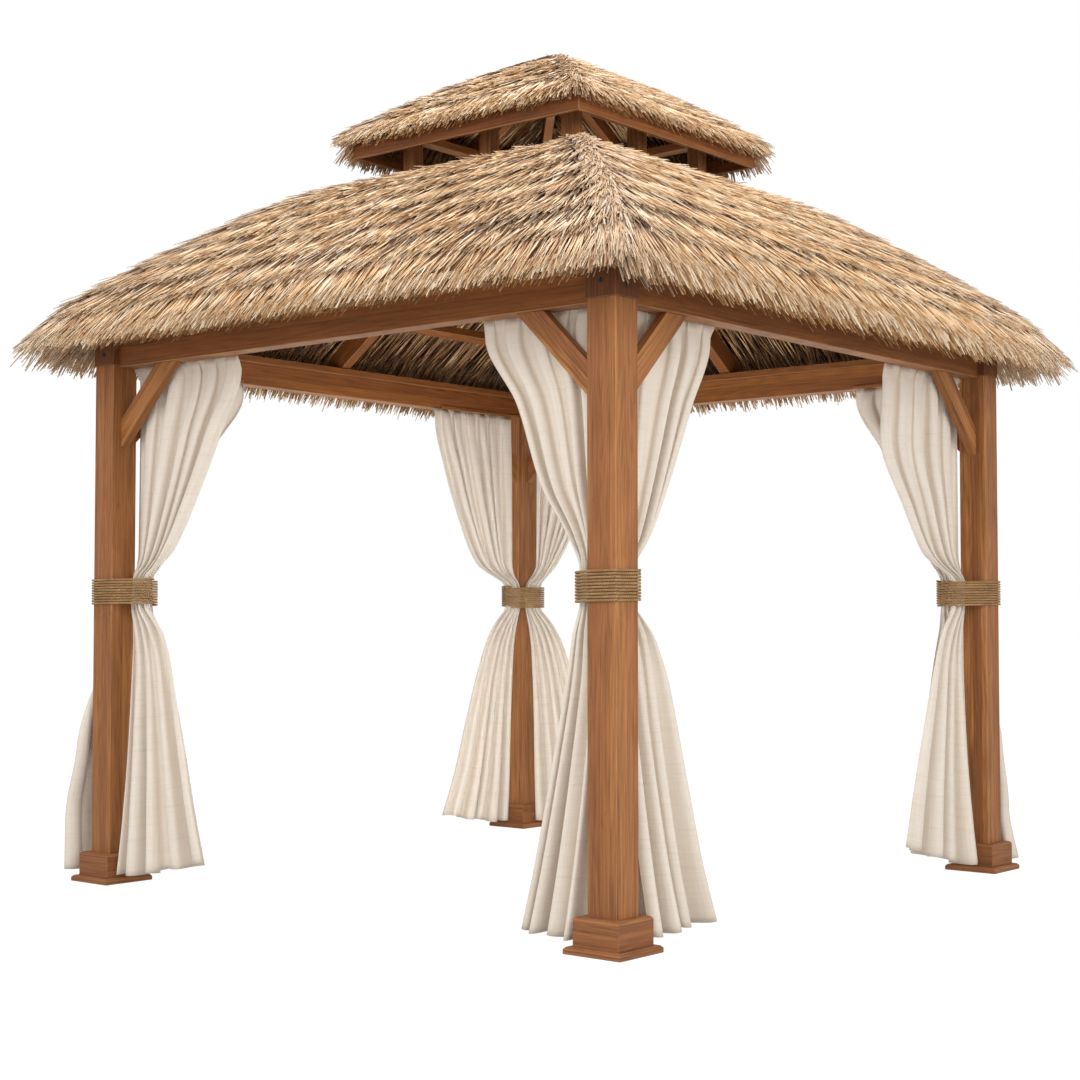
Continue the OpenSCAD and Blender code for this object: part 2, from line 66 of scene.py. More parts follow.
def paint(red: int, green: int, blue: int) -> Colour:
    """Turns a screen colour, 0 to 255 a channel, into the linear colour that a shader takes.

    Args:
        red: Red channel.
        green: Green channel.
        blue: Blue channel.

    Returns:
        The linear colour with full alpha.
    """
    shares = [channel / 255 for channel in (red, green, blue)]
    linear = [s / 12.92 if s <= 0.04045 else ((s + 0.055) / 1.055) ** 2.4 for s in shares]
    return (linear[0], linear[1], linear[2], 1.0)


# Shader wiring


def operator(operation: str, swapped: bool = False) -> Callable[..., "Wire"]:
    """Makes a method of Wire, which adds one Math node.

    Args:
        operation: The node's operation.
        swapped: Whether the other value comes first.

    Returns:
        The method.
    """

    def method(wire: "Wire", other: "Wire | float" = 0.0) -> "Wire":
        """Adds the node and returns its output."""
        first, second = (other, wire) if swapped else (wire, other)
        return wire.bench.add("ShaderNodeMath", {"operation": operation}, {0: first, 1: second})

    return method


class Wire:
    """An output socket that does maths, so that 1 - mask adds its Math node."""

    __add__ = __radd__ = operator("ADD")
    __sub__ = operator("SUBTRACT")
    __rsub__ = operator("SUBTRACT", swapped=True)
    __mul__ = operator("MULTIPLY")
    __truediv__ = operator("DIVIDE")
    __gt__ = operator("GREATER_THAN")
    most = operator("MAXIMUM")
    floor = operator("FLOOR")
    fraction = operator("FRACT")
    size = operator("ABSOLUTE")
    sine = operator("SINE")

    def __init__(self, bench: "Bench", socket: bpy.types.NodeSocket) -> None:
        """Keeps the bench that makes nodes, and the socket."""
        self.bench = bench
        self.socket = socket

    def off_middle(self) -> "Wire":
        """How far the part after the point is from a half."""
        return (self.fraction() - 0.5).size()

    def ramp(self, low: float, high: float) -> "Wire":
        """Stretches the span from low to high to 0 to 1, and clamps it.

        Args:
            low: The value that becomes 0.
            high: The value that becomes 1.

        Returns:
            The clamped share.
        """
        return self.bench.add("ShaderNodeMapRange", {"clamp": True}, {0: self, 1: low, 2: high})


class Bench:
    """Makes and joins the nodes of one material."""

    def __init__(self, material: bpy.types.Material) -> None:
        """Clears the material's nodes and adds its output."""
        material.use_nodes = True
        self.tree = material.node_tree
        self.tree.nodes.clear()
        self.output = self.tree.nodes.new("ShaderNodeOutputMaterial")

    def add(
        self, kind: str, settings: dict | None = None, inputs: dict | None = None,
        output: int | str = 0,
    ) -> Wire:
        """Makes a node, sets it, and then fills its sockets.

        Args:
            kind: The node's type.
            settings: Its settings, where stops are a ramp's places and colours.
            inputs: Values or wires by socket name or number.
            output: The output that is returned.

        Returns:
            The wire of that output.
        """
        node = self.tree.nodes.new(kind)
        for name, value in (settings or {}).items():
            if name == "stops":
                self.set_stops(node, value)
            else:
                setattr(node, name, value)
        for name, value in (inputs or {}).items():
            if isinstance(value, Wire):
                self.tree.links.new(value.socket, node.inputs[name])
            else:
                node.inputs[name].default_value = value
        return Wire(self, node.outputs[output])

    def set_stops(self, node: bpy.types.Node, stops: Sequence[tuple[float, Colour]]) -> None:
        """Fills a colour ramp.

        Args:
            node: The ramp's node.
            stops: Place and colour of each stop, from low to high.
        """
        elements = node.color_ramp.elements
        for index, (place, colour) in enumerate(stops):
            element = elements[index] if index < len(elements) else elements.new(place)
            element.position = place
            element.color = colour

    def attribute(self, name: str, output: int | str = "Fac") -> Wire:
        """A mesh attribute, as a number or a vector."""
        return self.add("ShaderNodeAttribute", {"attribute_name": name}, {}, output)

    def place(self) -> Wire:
        """Object coordinates."""
        return self.add("ShaderNodeTexCoord", {}, {}, "Object")

    def per_part(self, operation: str, first: Wire, second: Wire | Sequence[float]) -> Wire:
        """A vector from two, part by part."""
        return self.add("ShaderNodeVectorMath", {"operation": operation}, {0: first, 1: second})

    def parts(self, vector: Wire) -> list[Wire]:
        """The three numbers of a vector."""
        first = self.add("ShaderNodeSeparateXYZ", {}, {0: vector})
        return [Wire(self, out) for out in first.socket.node.outputs]

    def together(self, x: Wire | float, y: Wire | float, z: Wire | float) -> Wire:
        """A vector from three numbers."""
        return self.add("ShaderNodeCombineXYZ", {}, {0: x, 1: y, 2: z})

    def noise(
        self, vector: Wire, by: Sequence[float], detail: float = 2.0, rough: float = 0.5
    ) -> Wire:
        """Noise on a stretched vector.

        Args:
            vector: Where the noise is read.
            by: Cycles per metre along each axis.
            detail: Octaves.
            rough: Share of the fine octaves.

        Returns:
            The noise, about 0.3 to 0.7.
        """
        at = self.per_part("MULTIPLY", vector, by)
        sockets = {"Vector": at, "Scale": 1.0, "Detail": detail, "Roughness": rough}
        return self.add("ShaderNodeTexNoise", {}, sockets)

    def speck(self, vector: Wire) -> Wire:
        """A steady random number for each value of a vector."""
        return self.add("ShaderNodeTexWhiteNoise", {"noise_dimensions": "3D"}, {"Vector": vector})

    def blend(self, share: Wire | float, first: Wire | Colour, second: Wire | Colour) -> Wire:
        """Mixes two colours.

        Args:
            share: Share of the second.
            first: First colour.
            second: Second colour.

        Returns:
            The mixed colour.
        """
        settings = {"data_type": "RGBA", "blend_type": "MIX"}
        return self.add("ShaderNodeMix", settings, {0: share, 6: first, 7: second}, 2)

    def tones(self, share: Wire, stops: Sequence[tuple[float, Colour]]) -> Wire:
        """A colour ramp over a number."""
        return self.add("ShaderNodeValToRGB", {"stops": stops}, {0: share})

    def bump(self, height: Wire, depth: float) -> Wire:
        """A normal from a height.

        Args:
            height: The height, 0 to 1.
            depth: Metres between 0 and 1.

        Returns:
            The bent normal.
        """
        sockets = {"Height": height, "Distance": depth, "Strength": 1.0}
        return self.add("ShaderNodeBump", {}, sockets)

    def shine(
        self, colour: Wire, rough: Wire | float, normal: Wire, specular: float = 0.5,
        others: dict | None = None,
    ) -> None:
        """Ends the material in a Principled shader.

        Args:
            colour: Its colour.
            rough: Its roughness.
            normal: Its bent normal.
            specular: Its specular level.
            others: Values of its other sockets by name.
        """
        shader = self.add("ShaderNodeBsdfPrincipled", {}, {
            "Base Color": colour, "Roughness": rough, "Normal": normal,
            "Specular IOR Level": specular, **(others or {}),
        })
        self.surface(shader)

    def surface(self, shader: Wire) -> None:
        """Makes a shader the material's surface."""
        self.tree.links.new(shader.socket, self.output.inputs["Surface"])


@dataclass(frozen=True)
class Finish:
    """A surface finish, whose material is made when it is first asked for."""

    name: str

    def material(self) -> bpy.types.Material:
        """The finish's material.

        Returns:
            One material, shared by every piece with this finish.
        """
        made = bpy.data.materials.get(self.name)
        if made is None:
            made = bpy.data.materials.new(self.name)
            self.wire(Bench(made))
        return made

    def wire(self, bench: Bench) -> None:
        """Builds the finish's nodes."""
        raise NotImplementedError


@dataclass(frozen=True)
class OiledTimber(Finish):
    """Oiled softwood, glued from staves of two tones, with soft figure, a paler colour on eased
    edges as wear and painted highlight, and on faces that point down as painted light from the
    floor below.
    """

    golden: Colour = paint(190, 128, 70)
    rosy: Colour = paint(152, 94, 54)
    dark: Colour = paint(88, 48, 20)
    # paler colour of eased edges, as wear and painted highlight, and of undersides, as painted
    # light from the floor below
    pale_wear_and_light: Colour = paint(208, 160, 116)
    stave: float = 0.046
    # share of that paler colour, so also the strength of the painted highlight and the painted
    # underside light
    rubbed: float = 0.17

    def wire(self, bench: Bench) -> None:
        """Builds the nodes from the boards' grain attribute, which is metres along and across."""
        grain = bench.attribute("grain", "Vector")
        board = bench.attribute("board")
        _, across, depth = bench.parts(grain)
        places = [across / self.stave + board * 0.7, depth / self.stave + board * 0.4]
        strip = bench.speck(bench.together(places[0].floor(), places[1].floor(), board))
        seam = places[0].off_middle().most(places[1].off_middle()).ramp(0.470, 0.497)
        own = bench.together(strip * 9, strip * 5, board * 7)
        spot = bench.per_part("ADD", grain, own)
        figure = (bench.noise(spot, (0.7, 10.0, 10.0), 1.0) * 85).sine() * 0.5 + 0.5
        streaks = bench.noise(spot, (2.6, 90.0, 90.0), 4.0, 0.62)
        fine = bench.noise(grain, (14.0, 520.0, 520.0), 2.0)
        clouds = bench.noise(spot, (1.3, 8.0, 8.0), 2.0)
        line = 1 - (bench.noise(spot, (1.1, 16.0, 16.0), 2.0) - 0.5).size().ramp(0.0, 0.010)
        tone = streaks * 1.5 + clouds * 0.9 + fine * 0.5 + figure * 0.22 - 1.56
        share = tone + 0.66 - seam * 0.22 - line * 0.20
        bright = bench.blend(strip, self.rosy, self.golden)
        wood = bench.blend(share.ramp(0.0, 1.0), self.dark, bright)
        weathered = bench.noise(grain, (9.0, 9.0, 9.0), 2.0).ramp(0.34, 0.62)
        # painted light: the edge attribute gives eased edges and downward faces the paler colour,
        # as wear, painted highlight and painted floor light
        wear = bench.attribute("edge") * (weathered * 0.5 + 0.5) * self.rubbed
        relief = streaks * 0.7 + fine * 0.5 - line * 0.5 - seam * 0.6
        bench.shine(
            bench.blend(wear, wood, self.pale_wear_and_light), 0.58 - figure * 0.05 + fine * 0.12,
            bench.bump(relief, 0.0008), 0.35,
        )


@dataclass(frozen=True)
class CutReed(Finish):
    """Dry reed strands, each with its own tone, with painted shade darkening them towards the root,
    and paler towards the tip.
    """

    shade: Colour = paint(78, 45, 19)
    brown: Colour = paint(190, 142, 92)
    straw: Colour = paint(233, 196, 152)
    pale: Colour = paint(249, 231, 204)
    grey: Colour = paint(224, 206, 188)

    def wire(self, bench: Bench) -> None:
        """Builds the nodes from the strands' tone, along and faded attributes."""
        tone = bench.attribute("tone")
        along = bench.attribute("along")
        patches = bench.noise(bench.place(), (2.2, 2.2, 5.0), 3.0).ramp(0.30, 0.70)
        mottle = bench.noise(bench.place(), (55.0, 55.0, 55.0), 2.0).ramp(0.30, 0.70)
        share = tone * 0.92 + patches * 0.16 + mottle * 0.10 + along * 0.16 - 0.15
        reed = bench.tones(
            share, [(0.05, self.shade), (0.30, self.brown), (0.62, self.straw), (0.94, self.pale)]
        )
        reed = bench.blend(bench.attribute("faded") * 0.55, reed, self.grey)
        # painted shade: strands darken towards the root, where the course above covers them
        root = (1 - along).ramp(0.32, 0.80)
        reed = bench.blend(root * 0.85, reed, self.shade)
        bench.shine(reed, 0.58 + mottle * 0.16, bench.bump(mottle, 0.0006), 0.3)


@dataclass(frozen=True)
class ReedBed(Finish):
    """Packed reed under the loose strands, and the stalks seen from inside. Its dark colour is
    partly the reed's own and partly painted shade for the gaps between strands.
    """

    # dark tone partly painted shade, seen in the gaps between the strands above
    dark: Colour = paint(74, 46, 22)
    brown: Colour = paint(150, 104, 58)
    lit: Colour = paint(186, 142, 90)

    def wire(self, bench: Bench) -> None:
        """Builds the nodes from the bed's fall attribute, which is metres along and across."""
        fall = bench.attribute("fall", "Vector")
        stalks = bench.noise(fall, (3.0, 190.0, 40.0), 3.0, 0.6)
        bands = bench.noise(fall, (5.0, 7.0, 3.0), 2.0)
        share = stalks * 0.9 + bands * 0.4 - 0.22
        reed = bench.tones(share, [(0.22, self.dark), (0.52, self.brown), (0.80, self.lit)])
        bench.shine(reed, 0.85, bench.bump(stalks, 0.006), 0.2)


@dataclass(frozen=True)
class SlubLinen(Finish):
    """Undyed linen with uneven threads, painted darker where its hems are doubled, as shade from
    less light passing through two layers.
    """

    thread: Colour = paint(232, 223, 211)
    slub: Colour = paint(213, 198, 179)
    doubled_hem_shade: Colour = paint(219, 205, 187)
    top_hem: float = 0.055
    hem: float = 0.045
    length: float = CURTAIN_LENGTH

    def wire(self, bench: Bench) -> None:
        """Builds the nodes from the cloth attribute, which is metres across and down."""
        cloth = bench.attribute("cloth", "Vector")
        down = bench.parts(cloth)[1]
        warp = bench.noise(cloth, (300.0, 4.0, 1.0), 3.0, 0.65)
        weft = bench.noise(cloth, (4.0, 300.0, 1.0), 3.0, 0.65)
        thick_warp = bench.noise(cloth, (70.0, 1.5, 1.0), 2.0).ramp(0.52, 0.72)
        thick_weft = bench.noise(cloth, (2.5, 70.0, 1.0), 2.0).ramp(0.52, 0.72)
        clouds = bench.noise(cloth, (3.0, 2.0, 1.0), 2.0)
        weave = warp * 0.5 + weft * 0.5
        slubs = thick_warp * 0.22 + thick_weft * 0.26
        share = (weave * 1.6 + slubs + clouds * 0.4 - 0.62).ramp(0.0, 1.0)
        linen = bench.blend(share, self.thread, self.slub)
        # painted shade: the top and bottom hem bands are darkened, as less light passes through
        # doubled cloth
        seam = (down > (self.length - self.hem)) + (1 - (down > self.top_hem))
        linen = bench.blend(seam.ramp(0.0, 1.0) * 0.45, linen, self.doubled_hem_shade)
        relief = weave + thick_warp * 0.2 + thick_weft * 0.2
        sheen = {"Sheen Weight": 0.12, "Sheen Roughness": 0.5}
        bench.shine(linen, 0.92, bench.bump(relief, 0.0011), 0.15, sheen)


@dataclass(frozen=True)
class HempRope(Finish):
    """Hairy laid rope."""

    light: Colour = paint(206, 172, 128)
    middle: Colour = paint(174, 138, 95)
    dark: Colour = paint(118, 84, 52)

    def wire(self, bench: Bench) -> None:
        """Builds the nodes from the rope's lay, in metres along and round, and its groove, which
        darkens the colour as painted shade.
        """
        lay = bench.attribute("lay", "Vector")
        yarn = bench.noise(lay, (90.0, 700.0, 1.0), 3.0, 0.6)
        patches = bench.noise(lay, (9.0, 20.0, 1.0), 2.0)
        # painted shade: the hemp is darker in the grooves between its strands
        share = yarn * 0.9 + patches * 0.6 - bench.attribute("groove") * 0.50 - 0.12
        hemp = bench.tones(share, [(0.20, self.dark), (0.48, self.middle), (0.80, self.light)])
        bench.shine(hemp, 0.9, bench.bump(yarn, 0.0012), 0.15)


@dataclass(frozen=True)
class BlackenedSteel(Finish):
    """Painted bolt steel, rubbed where a spanner held it."""

    coat: Colour = paint(74, 64, 58)
    rubbed: Colour = paint(128, 116, 107)

    def wire(self, bench: Bench) -> None:
        """Builds the nodes."""
        wear = bench.noise(bench.place(), (180.0, 180.0, 180.0), 3.0).ramp(0.50, 0.66)
        steel = bench.blend(wear, self.coat, self.rubbed)
        bench.shine(steel, 0.36 + wear * 0.22, bench.bump(wear, 0.0002), others={"Metallic": 0.6})


@dataclass(frozen=True)
class PaleFloor(Finish):
    """A white floor that the camera sees as white, apart from a trace of shadow."""

    shown: float = 0.75
    glow: float = 1.24
    albedo: float = 0.62

    def wire(self, bench: Bench) -> None:
        """Builds the nodes, with the shown share only for the camera and for mirrors."""
        rays = bench.add("ShaderNodeLightPath")
        outputs = rays.socket.node.outputs
        seen = Wire(bench, outputs["Is Camera Ray"])
        for name in ("Is Glossy Ray", "Is Transmission Ray"):
            seen = seen.most(Wire(bench, outputs[name]))
        white = bench.add("ShaderNodeEmission", {}, {"Color": WHITE, "Strength": self.glow})
        grey = (self.albedo, self.albedo, self.albedo, 1)
        matt = bench.add("ShaderNodeBsdfDiffuse", {}, {"Color": grey})
        share = seen * self.shown
        bench.surface(bench.add("ShaderNodeMixShader", {}, {0: share, 1: matt, 2: white}))


class Finishes(Enum):
    """Every finish on the gazebo, by what it covers."""

    POSTS = OiledTimber("post_timber")
    # painted shade: beams and roof timbers are darker than the posts, for the shade of the thatch
    # above them; a higher rubbed share paints their undersides paler as floor light
    BEAMS = OiledTimber(
        "shaded_beam_timber", paint(162, 100, 46), paint(140, 80, 34), paint(76, 40, 12),
        stave=0.058, rubbed=0.45,
    )
    CAPS = OiledTimber(
        "cap_timber", paint(130, 76, 36), paint(114, 64, 30), paint(68, 36, 14), stave=0.075
    )
    FOOT_BOARDS = OiledTimber(
        "foot_timber", paint(166, 108, 62), paint(144, 88, 50), paint(88, 50, 24),
        stave=0.056, rubbed=0.22,
    )
    STRANDS = CutReed("cut_reed")
    BED = ReedBed("reed_bed")
    LINEN = SlubLinen("slub_linen")
    ROPE = HempRope("hemp_rope")
    STEEL = BlackenedSteel("blackened_steel")
    FLOOR = PaleFloor("pale_floor")

    def material(self) -> bpy.types.Material:
        """The finish's material."""
        return self.value.material()


# Sizes and shared shape helpers


@dataclass(frozen=True)
class Plan:
    """Sizes of the frame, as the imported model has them."""

    half: float = 1.54
    post_w: float = 0.140
    bundle_u: float = 0.138
    bundle_v: float = 0.050
    base_w: float = 0.276
    base_t: float = 0.028
    base_chamfer: float = 0.009
    plinth_w: float = 0.221
    plinth_h: float = 0.112
    plinth_bevel: float = 0.009
    fit_gap: float = 0.0003
    eave_board_outer: float = 1.714
    plate_top: float = 2.657
    rafter_heel: float = 0.118
    pitch: float = math.radians(35)
    fascia_outer: float = 0.722
    cupola_plane_at_line: float = 3.7891
    cupola_line: float = 0.510
    cupola_pitch: float = math.radians(31)

    def roof_plane(self, s: float) -> float:
        """Height on top of the main rafters, at a distance from the centre."""
        return self.plate_top + self.rafter_heel + (self.half - s) * math.tan(self.pitch)

    def cupola_plane(self, s: float) -> float:
        """Height on top of the cupola rafters, at a distance from the centre."""
        return self.cupola_plane_at_line + (self.cupola_line - s) * math.tan(self.cupola_pitch)


PLAN = Plan()


def turned(place: int) -> Matrix:
    """The turn from the south side, or the south-east corner, to another one."""
    return Matrix.Rotation(math.radians(90 * place), 4, "Z")


def turn(bm: BMesh, verts: Sequence[BMVert], place: int) -> None:
    """Turns vertices about the gazebo's middle, from the south side to another one."""
    bmesh.ops.rotate(bm, matrix=turned(place).to_3x3(), cent=(0, 0, 0), verts=verts)


def bevel(bm: BMesh, edges: list, offset: float, segments: int) -> dict:
    """Bevels edges, and returns what the operator made."""
    return bmesh.ops.bevel(
        bm, geom=edges, offset=offset, offset_type="OFFSET", segments=segments,
        profile=0.5, affect="EDGES", clamp_overlap=True, material=-1,
    )


def of_kind(kind: type, geometry: Iterable) -> list:
    """The vertices, edges or faces among an operator's geometry."""
    return [g for g in geometry if isinstance(g, kind)]


def made_mesh(bm: BMesh, name: str) -> bpy.types.Mesh:
    """Turns an edited mesh into a mesh block, and frees it."""
    mesh = bpy.data.meshes.new(name)
    bm.to_mesh(mesh)
    bm.free()
    return mesh


def write_values(mesh: bpy.types.Mesh, name: str, values: Array) -> None:
    """Writes an attribute of a mesh: a number, or a row of three, for every point."""
    kind, part = ("FLOAT", "value") if values.ndim == 1 else ("FLOAT_VECTOR", "vector")
    attribute = mesh.attributes.new(name, kind, "POINT")
    attribute.data.foreach_set(part, values.astype(np.float32).ravel())


def units(vectors: Array) -> Array:
    """The directions of rows of three numbers."""
    return vectors / np.linalg.norm(vectors, axis=1)[:, None]


def shown(name: str, data: bpy.types.ID) -> bpy.types.Object:
    """Puts a mesh, a lamp or a camera in the scene, and returns its object."""
    made = bpy.data.objects.new(name, data)
    bpy.context.scene.collection.objects.link(made)
    return made


def add_piece(
    node: str, part: str, mesh: bpy.types.Mesh, finish: Finishes
) -> bpy.types.Object:
    """Puts a finished mesh in the scene as a piece of the gazebo.

    Args:
        node: The CAD node that it stands for.
        part: What the piece is, which ends its name.
        mesh: Its mesh, already in place.
        finish: Its finish.

    Returns:
        The piece, riding on the frame.
    """
    mesh.materials.clear()
    mesh.materials.append(finish.material())
    piece = shown(f"{node}_{part}", mesh)
    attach(piece, "root")
    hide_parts(node)
    log.info("%s: %d faces", piece.name, len(mesh.polygons))
    return piece


def joined(start: BMVert) -> list[BMVert]:
    """Every vertex joined to one by edges, itself first."""
    group, queue, seen = [start], [start], {start}
    while queue:
        for edge in queue.pop().link_edges:
            for vert in edge.verts:
                if vert not in seen:
                    seen.add(vert)
                    group.append(vert)
                    queue.append(vert)
    return group


def islands(bm: BMesh) -> list[list[BMVert]]:
    """Groups a mesh's vertices by the board that they belong to.

    Args:
        bm: The mesh.

    Returns:
        One list of joined vertices for each board.
    """
    seen: set[BMVert] = set()
    groups = []
    for start in bm.verts:
        if start not in seen:
            groups.append(joined(start))
            seen.update(groups[-1])
    return groups


class Grain(Enum):
    """How the grain of a board is found."""

    UPRIGHT = "along Z"
    LONGEST = "along the board"


@dataclass
class Boards:
    """Timber pieces: copies of CAD nodes with eased edges and a grain of their own."""

    easing: float = 0.0025
    sharp: float = math.radians(25)
    shortest: float = 0.008
    # share of the pale edge colour on faces that point down: painted light from the floor below
    underside_light: float = 0.8
    merged_within: float = 0.00002
    flat_within: float = math.radians(0.6)

    def ease(self, bm: BMesh) -> None:
        """Rounds the long sharp edges, marks the new faces for wear and painted highlight, and
        marks the faces that point down for painted light from the floor below.

        Args:
            bm: The board's mesh, merged.
        """
        wear_and_light_mark = bm.faces.layers.float.new("edge")
        sharp = [
            e for e in bm.edges
            if len(e.link_faces) == 2 and e.is_convex and e.calc_length() > self.shortest
            and e.calc_face_angle() > self.sharp
        ]
        made = bevel(bm, sharp, self.easing, 2)
        # painted light: downward faces get part of the pale edge colour, as floor light; new bevel
        # faces get all of it
        for face in bm.faces:
            face[wear_and_light_mark] = self.underside_light if face.normal.z < -0.9 else 0.0
        for face in made["faces"]:
            face[wear_and_light_mark] = 1.0

    def run_grain(self, bm: BMesh, grain: Grain, rng: Rng) -> None:
        """Writes each board's own coordinates, in metres along and across its grain.

        Args:
            bm: The mesh.
            grain: How the grain's direction is found.
            rng: Source of each board's offset and tone.
        """
        lay = bm.verts.layers.float_vector.new("grain")
        tone = bm.verts.layers.float.new("board")
        for group in islands(bm):
            points = np.array([v.co for v in group])
            if grain is Grain.UPRIGHT:
                axes = np.eye(3)[[2, 0, 1]]
            else:
                _, vectors = np.linalg.eigh(np.cov((points - points.mean(0)).T))
                axes = vectors.T[::-1]
            middle = (points.max(0) + points.min(0)) / 2
            shift = np.array([rng.uniform(0, 40), 0.0, 0.0])
            own = (points - middle) @ axes.T + shift
            value = rng.uniform(0, 1)
            for vert, at in zip(group, own):
                vert[lay] = Vector(at)
                vert[tone] = value

    def copy_node(self, node: str, finish: Finishes, grain: Grain, rng: Rng) -> None:
        """Makes the eased copy of a CAD node, which stands for it.

        Args:
            node: The CAD node.
            finish: Its finish.
            grain: How the grain's direction is found.
            rng: Source of each board's offset and tone.
        """
        bm = bmesh.new()
        bm.from_mesh(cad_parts[node].data)
        bmesh.ops.remove_doubles(bm, verts=bm.verts[:], dist=self.merged_within)
        bmesh.ops.dissolve_limit(
            bm, angle_limit=self.flat_within, verts=bm.verts[:], edges=bm.edges[:]
        )
        self.ease(bm)
        self.run_grain(bm, grain, rng)
        add_piece(node, "timber", made_mesh(bm, node), finish)


@dataclass
class TimberFrame(Boards):
    """Posts, caps, beams, braces and the roof's timbers."""

    upright: tuple[str, ...] = ("post_", "cupola_posts", "king_block")
    capping: tuple[str, ...] = ("corner_cap_",)
    slanting: tuple[str, ...] = ("brace_",)
    lengthways: tuple[str, ...] = (
        "beam_", "wall_plates", "hip_rafters", "common_rafters", "purlins", "roof_curb",
        "cupola_plates", "cupola_rafters", "cupola_fascia", "header_battens",
    )

    def build(self, rng: Rng) -> None:
        """Builds every timber piece.

        Args:
            rng: Source of the boards' offsets and tones.
        """
        dress = (
            (self.upright, Finishes.POSTS, Grain.UPRIGHT),
            (self.capping, Finishes.CAPS, Grain.UPRIGHT),
            (self.slanting, Finishes.POSTS, Grain.LONGEST),
            (self.lengthways, Finishes.BEAMS, Grain.LONGEST),
        )
        for node in sorted(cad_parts):
            for names, finish, grain in dress:
                if node.startswith(names):
                    self.copy_node(node, finish, grain, rng)


@dataclass
class Footing(Boards):
    """Base plate and plinth collar of one post, as boards that meet in mitres."""

    easing: float = 0.0016
    cut_within: float = 1e-6
    touching: float = 1e-5
    hollow: float = 0.020
    rim_within: float = 0.001
    top_within: float = 0.020

    def mitred(self, bm: BMesh, outer: float, width: float, low: float, high: float) -> None:
        """Adds four boards round a square, with a hairline joint in each mitre.

        Args:
            bm: The mesh that gets them.
            outer: Half the width of the square.
            width: Width of a board.
            low: Height of the underside.
            high: Height of the top.
        """
        for side in range(4):
            made = bmesh.ops.create_cube(bm, size=1.0)["verts"]
            bmesh.ops.scale(bm, vec=(2 * outer, width, high - low), verts=made)
            middle = (0, -outer + width / 2, (low + high) / 2)
            bmesh.ops.translate(bm, vec=middle, verts=made)
            for lean in (-1, 1):
                board = dict.fromkeys(g for v in made for g in [v, *v.link_edges, *v.link_faces])
                cut = bmesh.ops.bisect_plane(
                    bm, geom=list(board), dist=self.cut_within, clear_outer=True,
                    plane_co=(lean * (outer - PLAN.fit_gap / 2), -outer, 0),
                    plane_no=(lean, 1, 0),
                )
                rim = of_kind(BMEdge, cut["geom_cut"])
                bmesh.ops.contextual_create(bm, geom=rim)
                made = joined(of_kind(BMVert, cut["geom"])[0])
            turn(bm, made, side)

    def narrow_top(self, bm: BMesh, high: float, fall: float, outer: float) -> None:
        """Lowers the outer top edge to make the chamfer.

        Args:
            bm: The mesh.
            high: Height of the top.
            fall: Height of the chamfer, and how far it runs in.
            outer: Half the width of the square.
        """

        def reach(vert: BMVert) -> float:
            """How far a vertex of the top stands out, or 0 below the top."""
            on_top = abs(vert.co.z - high) < self.touching
            return max(abs(vert.co.x), abs(vert.co.y)) if on_top else 0.0

        rim = [e for e in bm.edges if min(map(reach, e.verts)) > outer - self.rim_within]
        for vert in bevel(bm, rim, fall, 1)["verts"]:
            grow = (outer - fall) / max(reach(vert), self.touching)
            if reach(vert) > outer - fall - self.top_within and grow < 1:
                vert.co.x *= grow
                vert.co.y *= grow

    def build(self, place: int, rng: Rng) -> None:
        """Builds the two pieces of one corner.

        Args:
            place: The corner, counted from the south-east.
            rng: Source of the boards' offsets and tones.
        """
        plan = PLAN
        top = plan.base_t + plan.plinth_h
        base, plinth = plan.base_w / 2, plan.plinth_w / 2
        ring = (plan.plinth_w - plan.post_w) / 2 - plan.fit_gap
        for name, outer, width, low, high, chamfer in (
            ("base_plate_", base, base - self.hollow, 0.0, plan.base_t, plan.base_chamfer),
            ("plinth_", plinth, ring, plan.base_t, top, plan.plinth_bevel),
        ):
            node = name + CORNERS[place]
            bm = bmesh.new()
            self.mitred(bm, outer, width, low, high)
            self.narrow_top(bm, high, chamfer, outer)
            self.ease(bm)
            self.run_grain(bm, Grain.LONGEST, rng)
            bmesh.ops.translate(bm, vec=(plan.half, -plan.half, 0), verts=bm.verts[:])
            turn(bm, bm.verts[:], place)
            mesh = made_mesh(bm, node)
            add_piece(node, "boards", mesh, Finishes.FOOT_BOARDS)


# Thatch


@dataclass(frozen=True)
class Stalk:
    """Template of one cut reed: a closed three-sided blade from 0 to 1 along X."""

    places: tuple[float, ...]
    widths: tuple[float, ...]

    def template(self) -> tuple[Array, Array]:
        """Models the blade.

        Returns:
            Its points, and its triangles as rows of three indices.
        """
        bm = bmesh.new()
        bmesh.ops.create_circle(bm, cap_ends=True, radius=1.0, segments=3)
        upended = Matrix.Rotation(math.radians(90), 3, "Y")
        bmesh.ops.rotate(bm, matrix=upended, cent=(0, 0, 0), verts=bm.verts[:])
        end = bm.faces[:]
        for before, after, wide_before, wide in zip(
            self.places, self.places[1:], self.widths, self.widths[1:]
        ):
            made = bmesh.ops.extrude_face_region(bm, geom=end)["geom"]
            end = of_kind(BMFace, made)
            verts = of_kind(BMVert, made)
            bmesh.ops.translate(bm, vec=(after - before, 0, 0), verts=verts)
            bmesh.ops.scale(bm, vec=(1, wide / wide_before, wide / wide_before), verts=verts)
        bmesh.ops.remove_doubles(bm, verts=bm.verts[:], dist=0.02)
        bmesh.ops.recalc_face_normals(bm, faces=bm.faces[:])
        bmesh.ops.triangulate(bm, faces=bm.faces[:])
        points = np.array([v.co for v in bm.verts])
        points[:, 0] = np.clip(points[:, 0], 0.0, 1.0)
        faces = np.array([[v.index for v in f.verts] for f in bm.faces])
        bm.free()
        return points, faces


SHORT_STALK = Stalk((0.0, 0.55, 1.0), (0.9, 1.0, 0.40))
BENT_STALK = Stalk((0.0, 0.35, 0.70, 1.0), (0.9, 1.0, 0.9, 0.45))


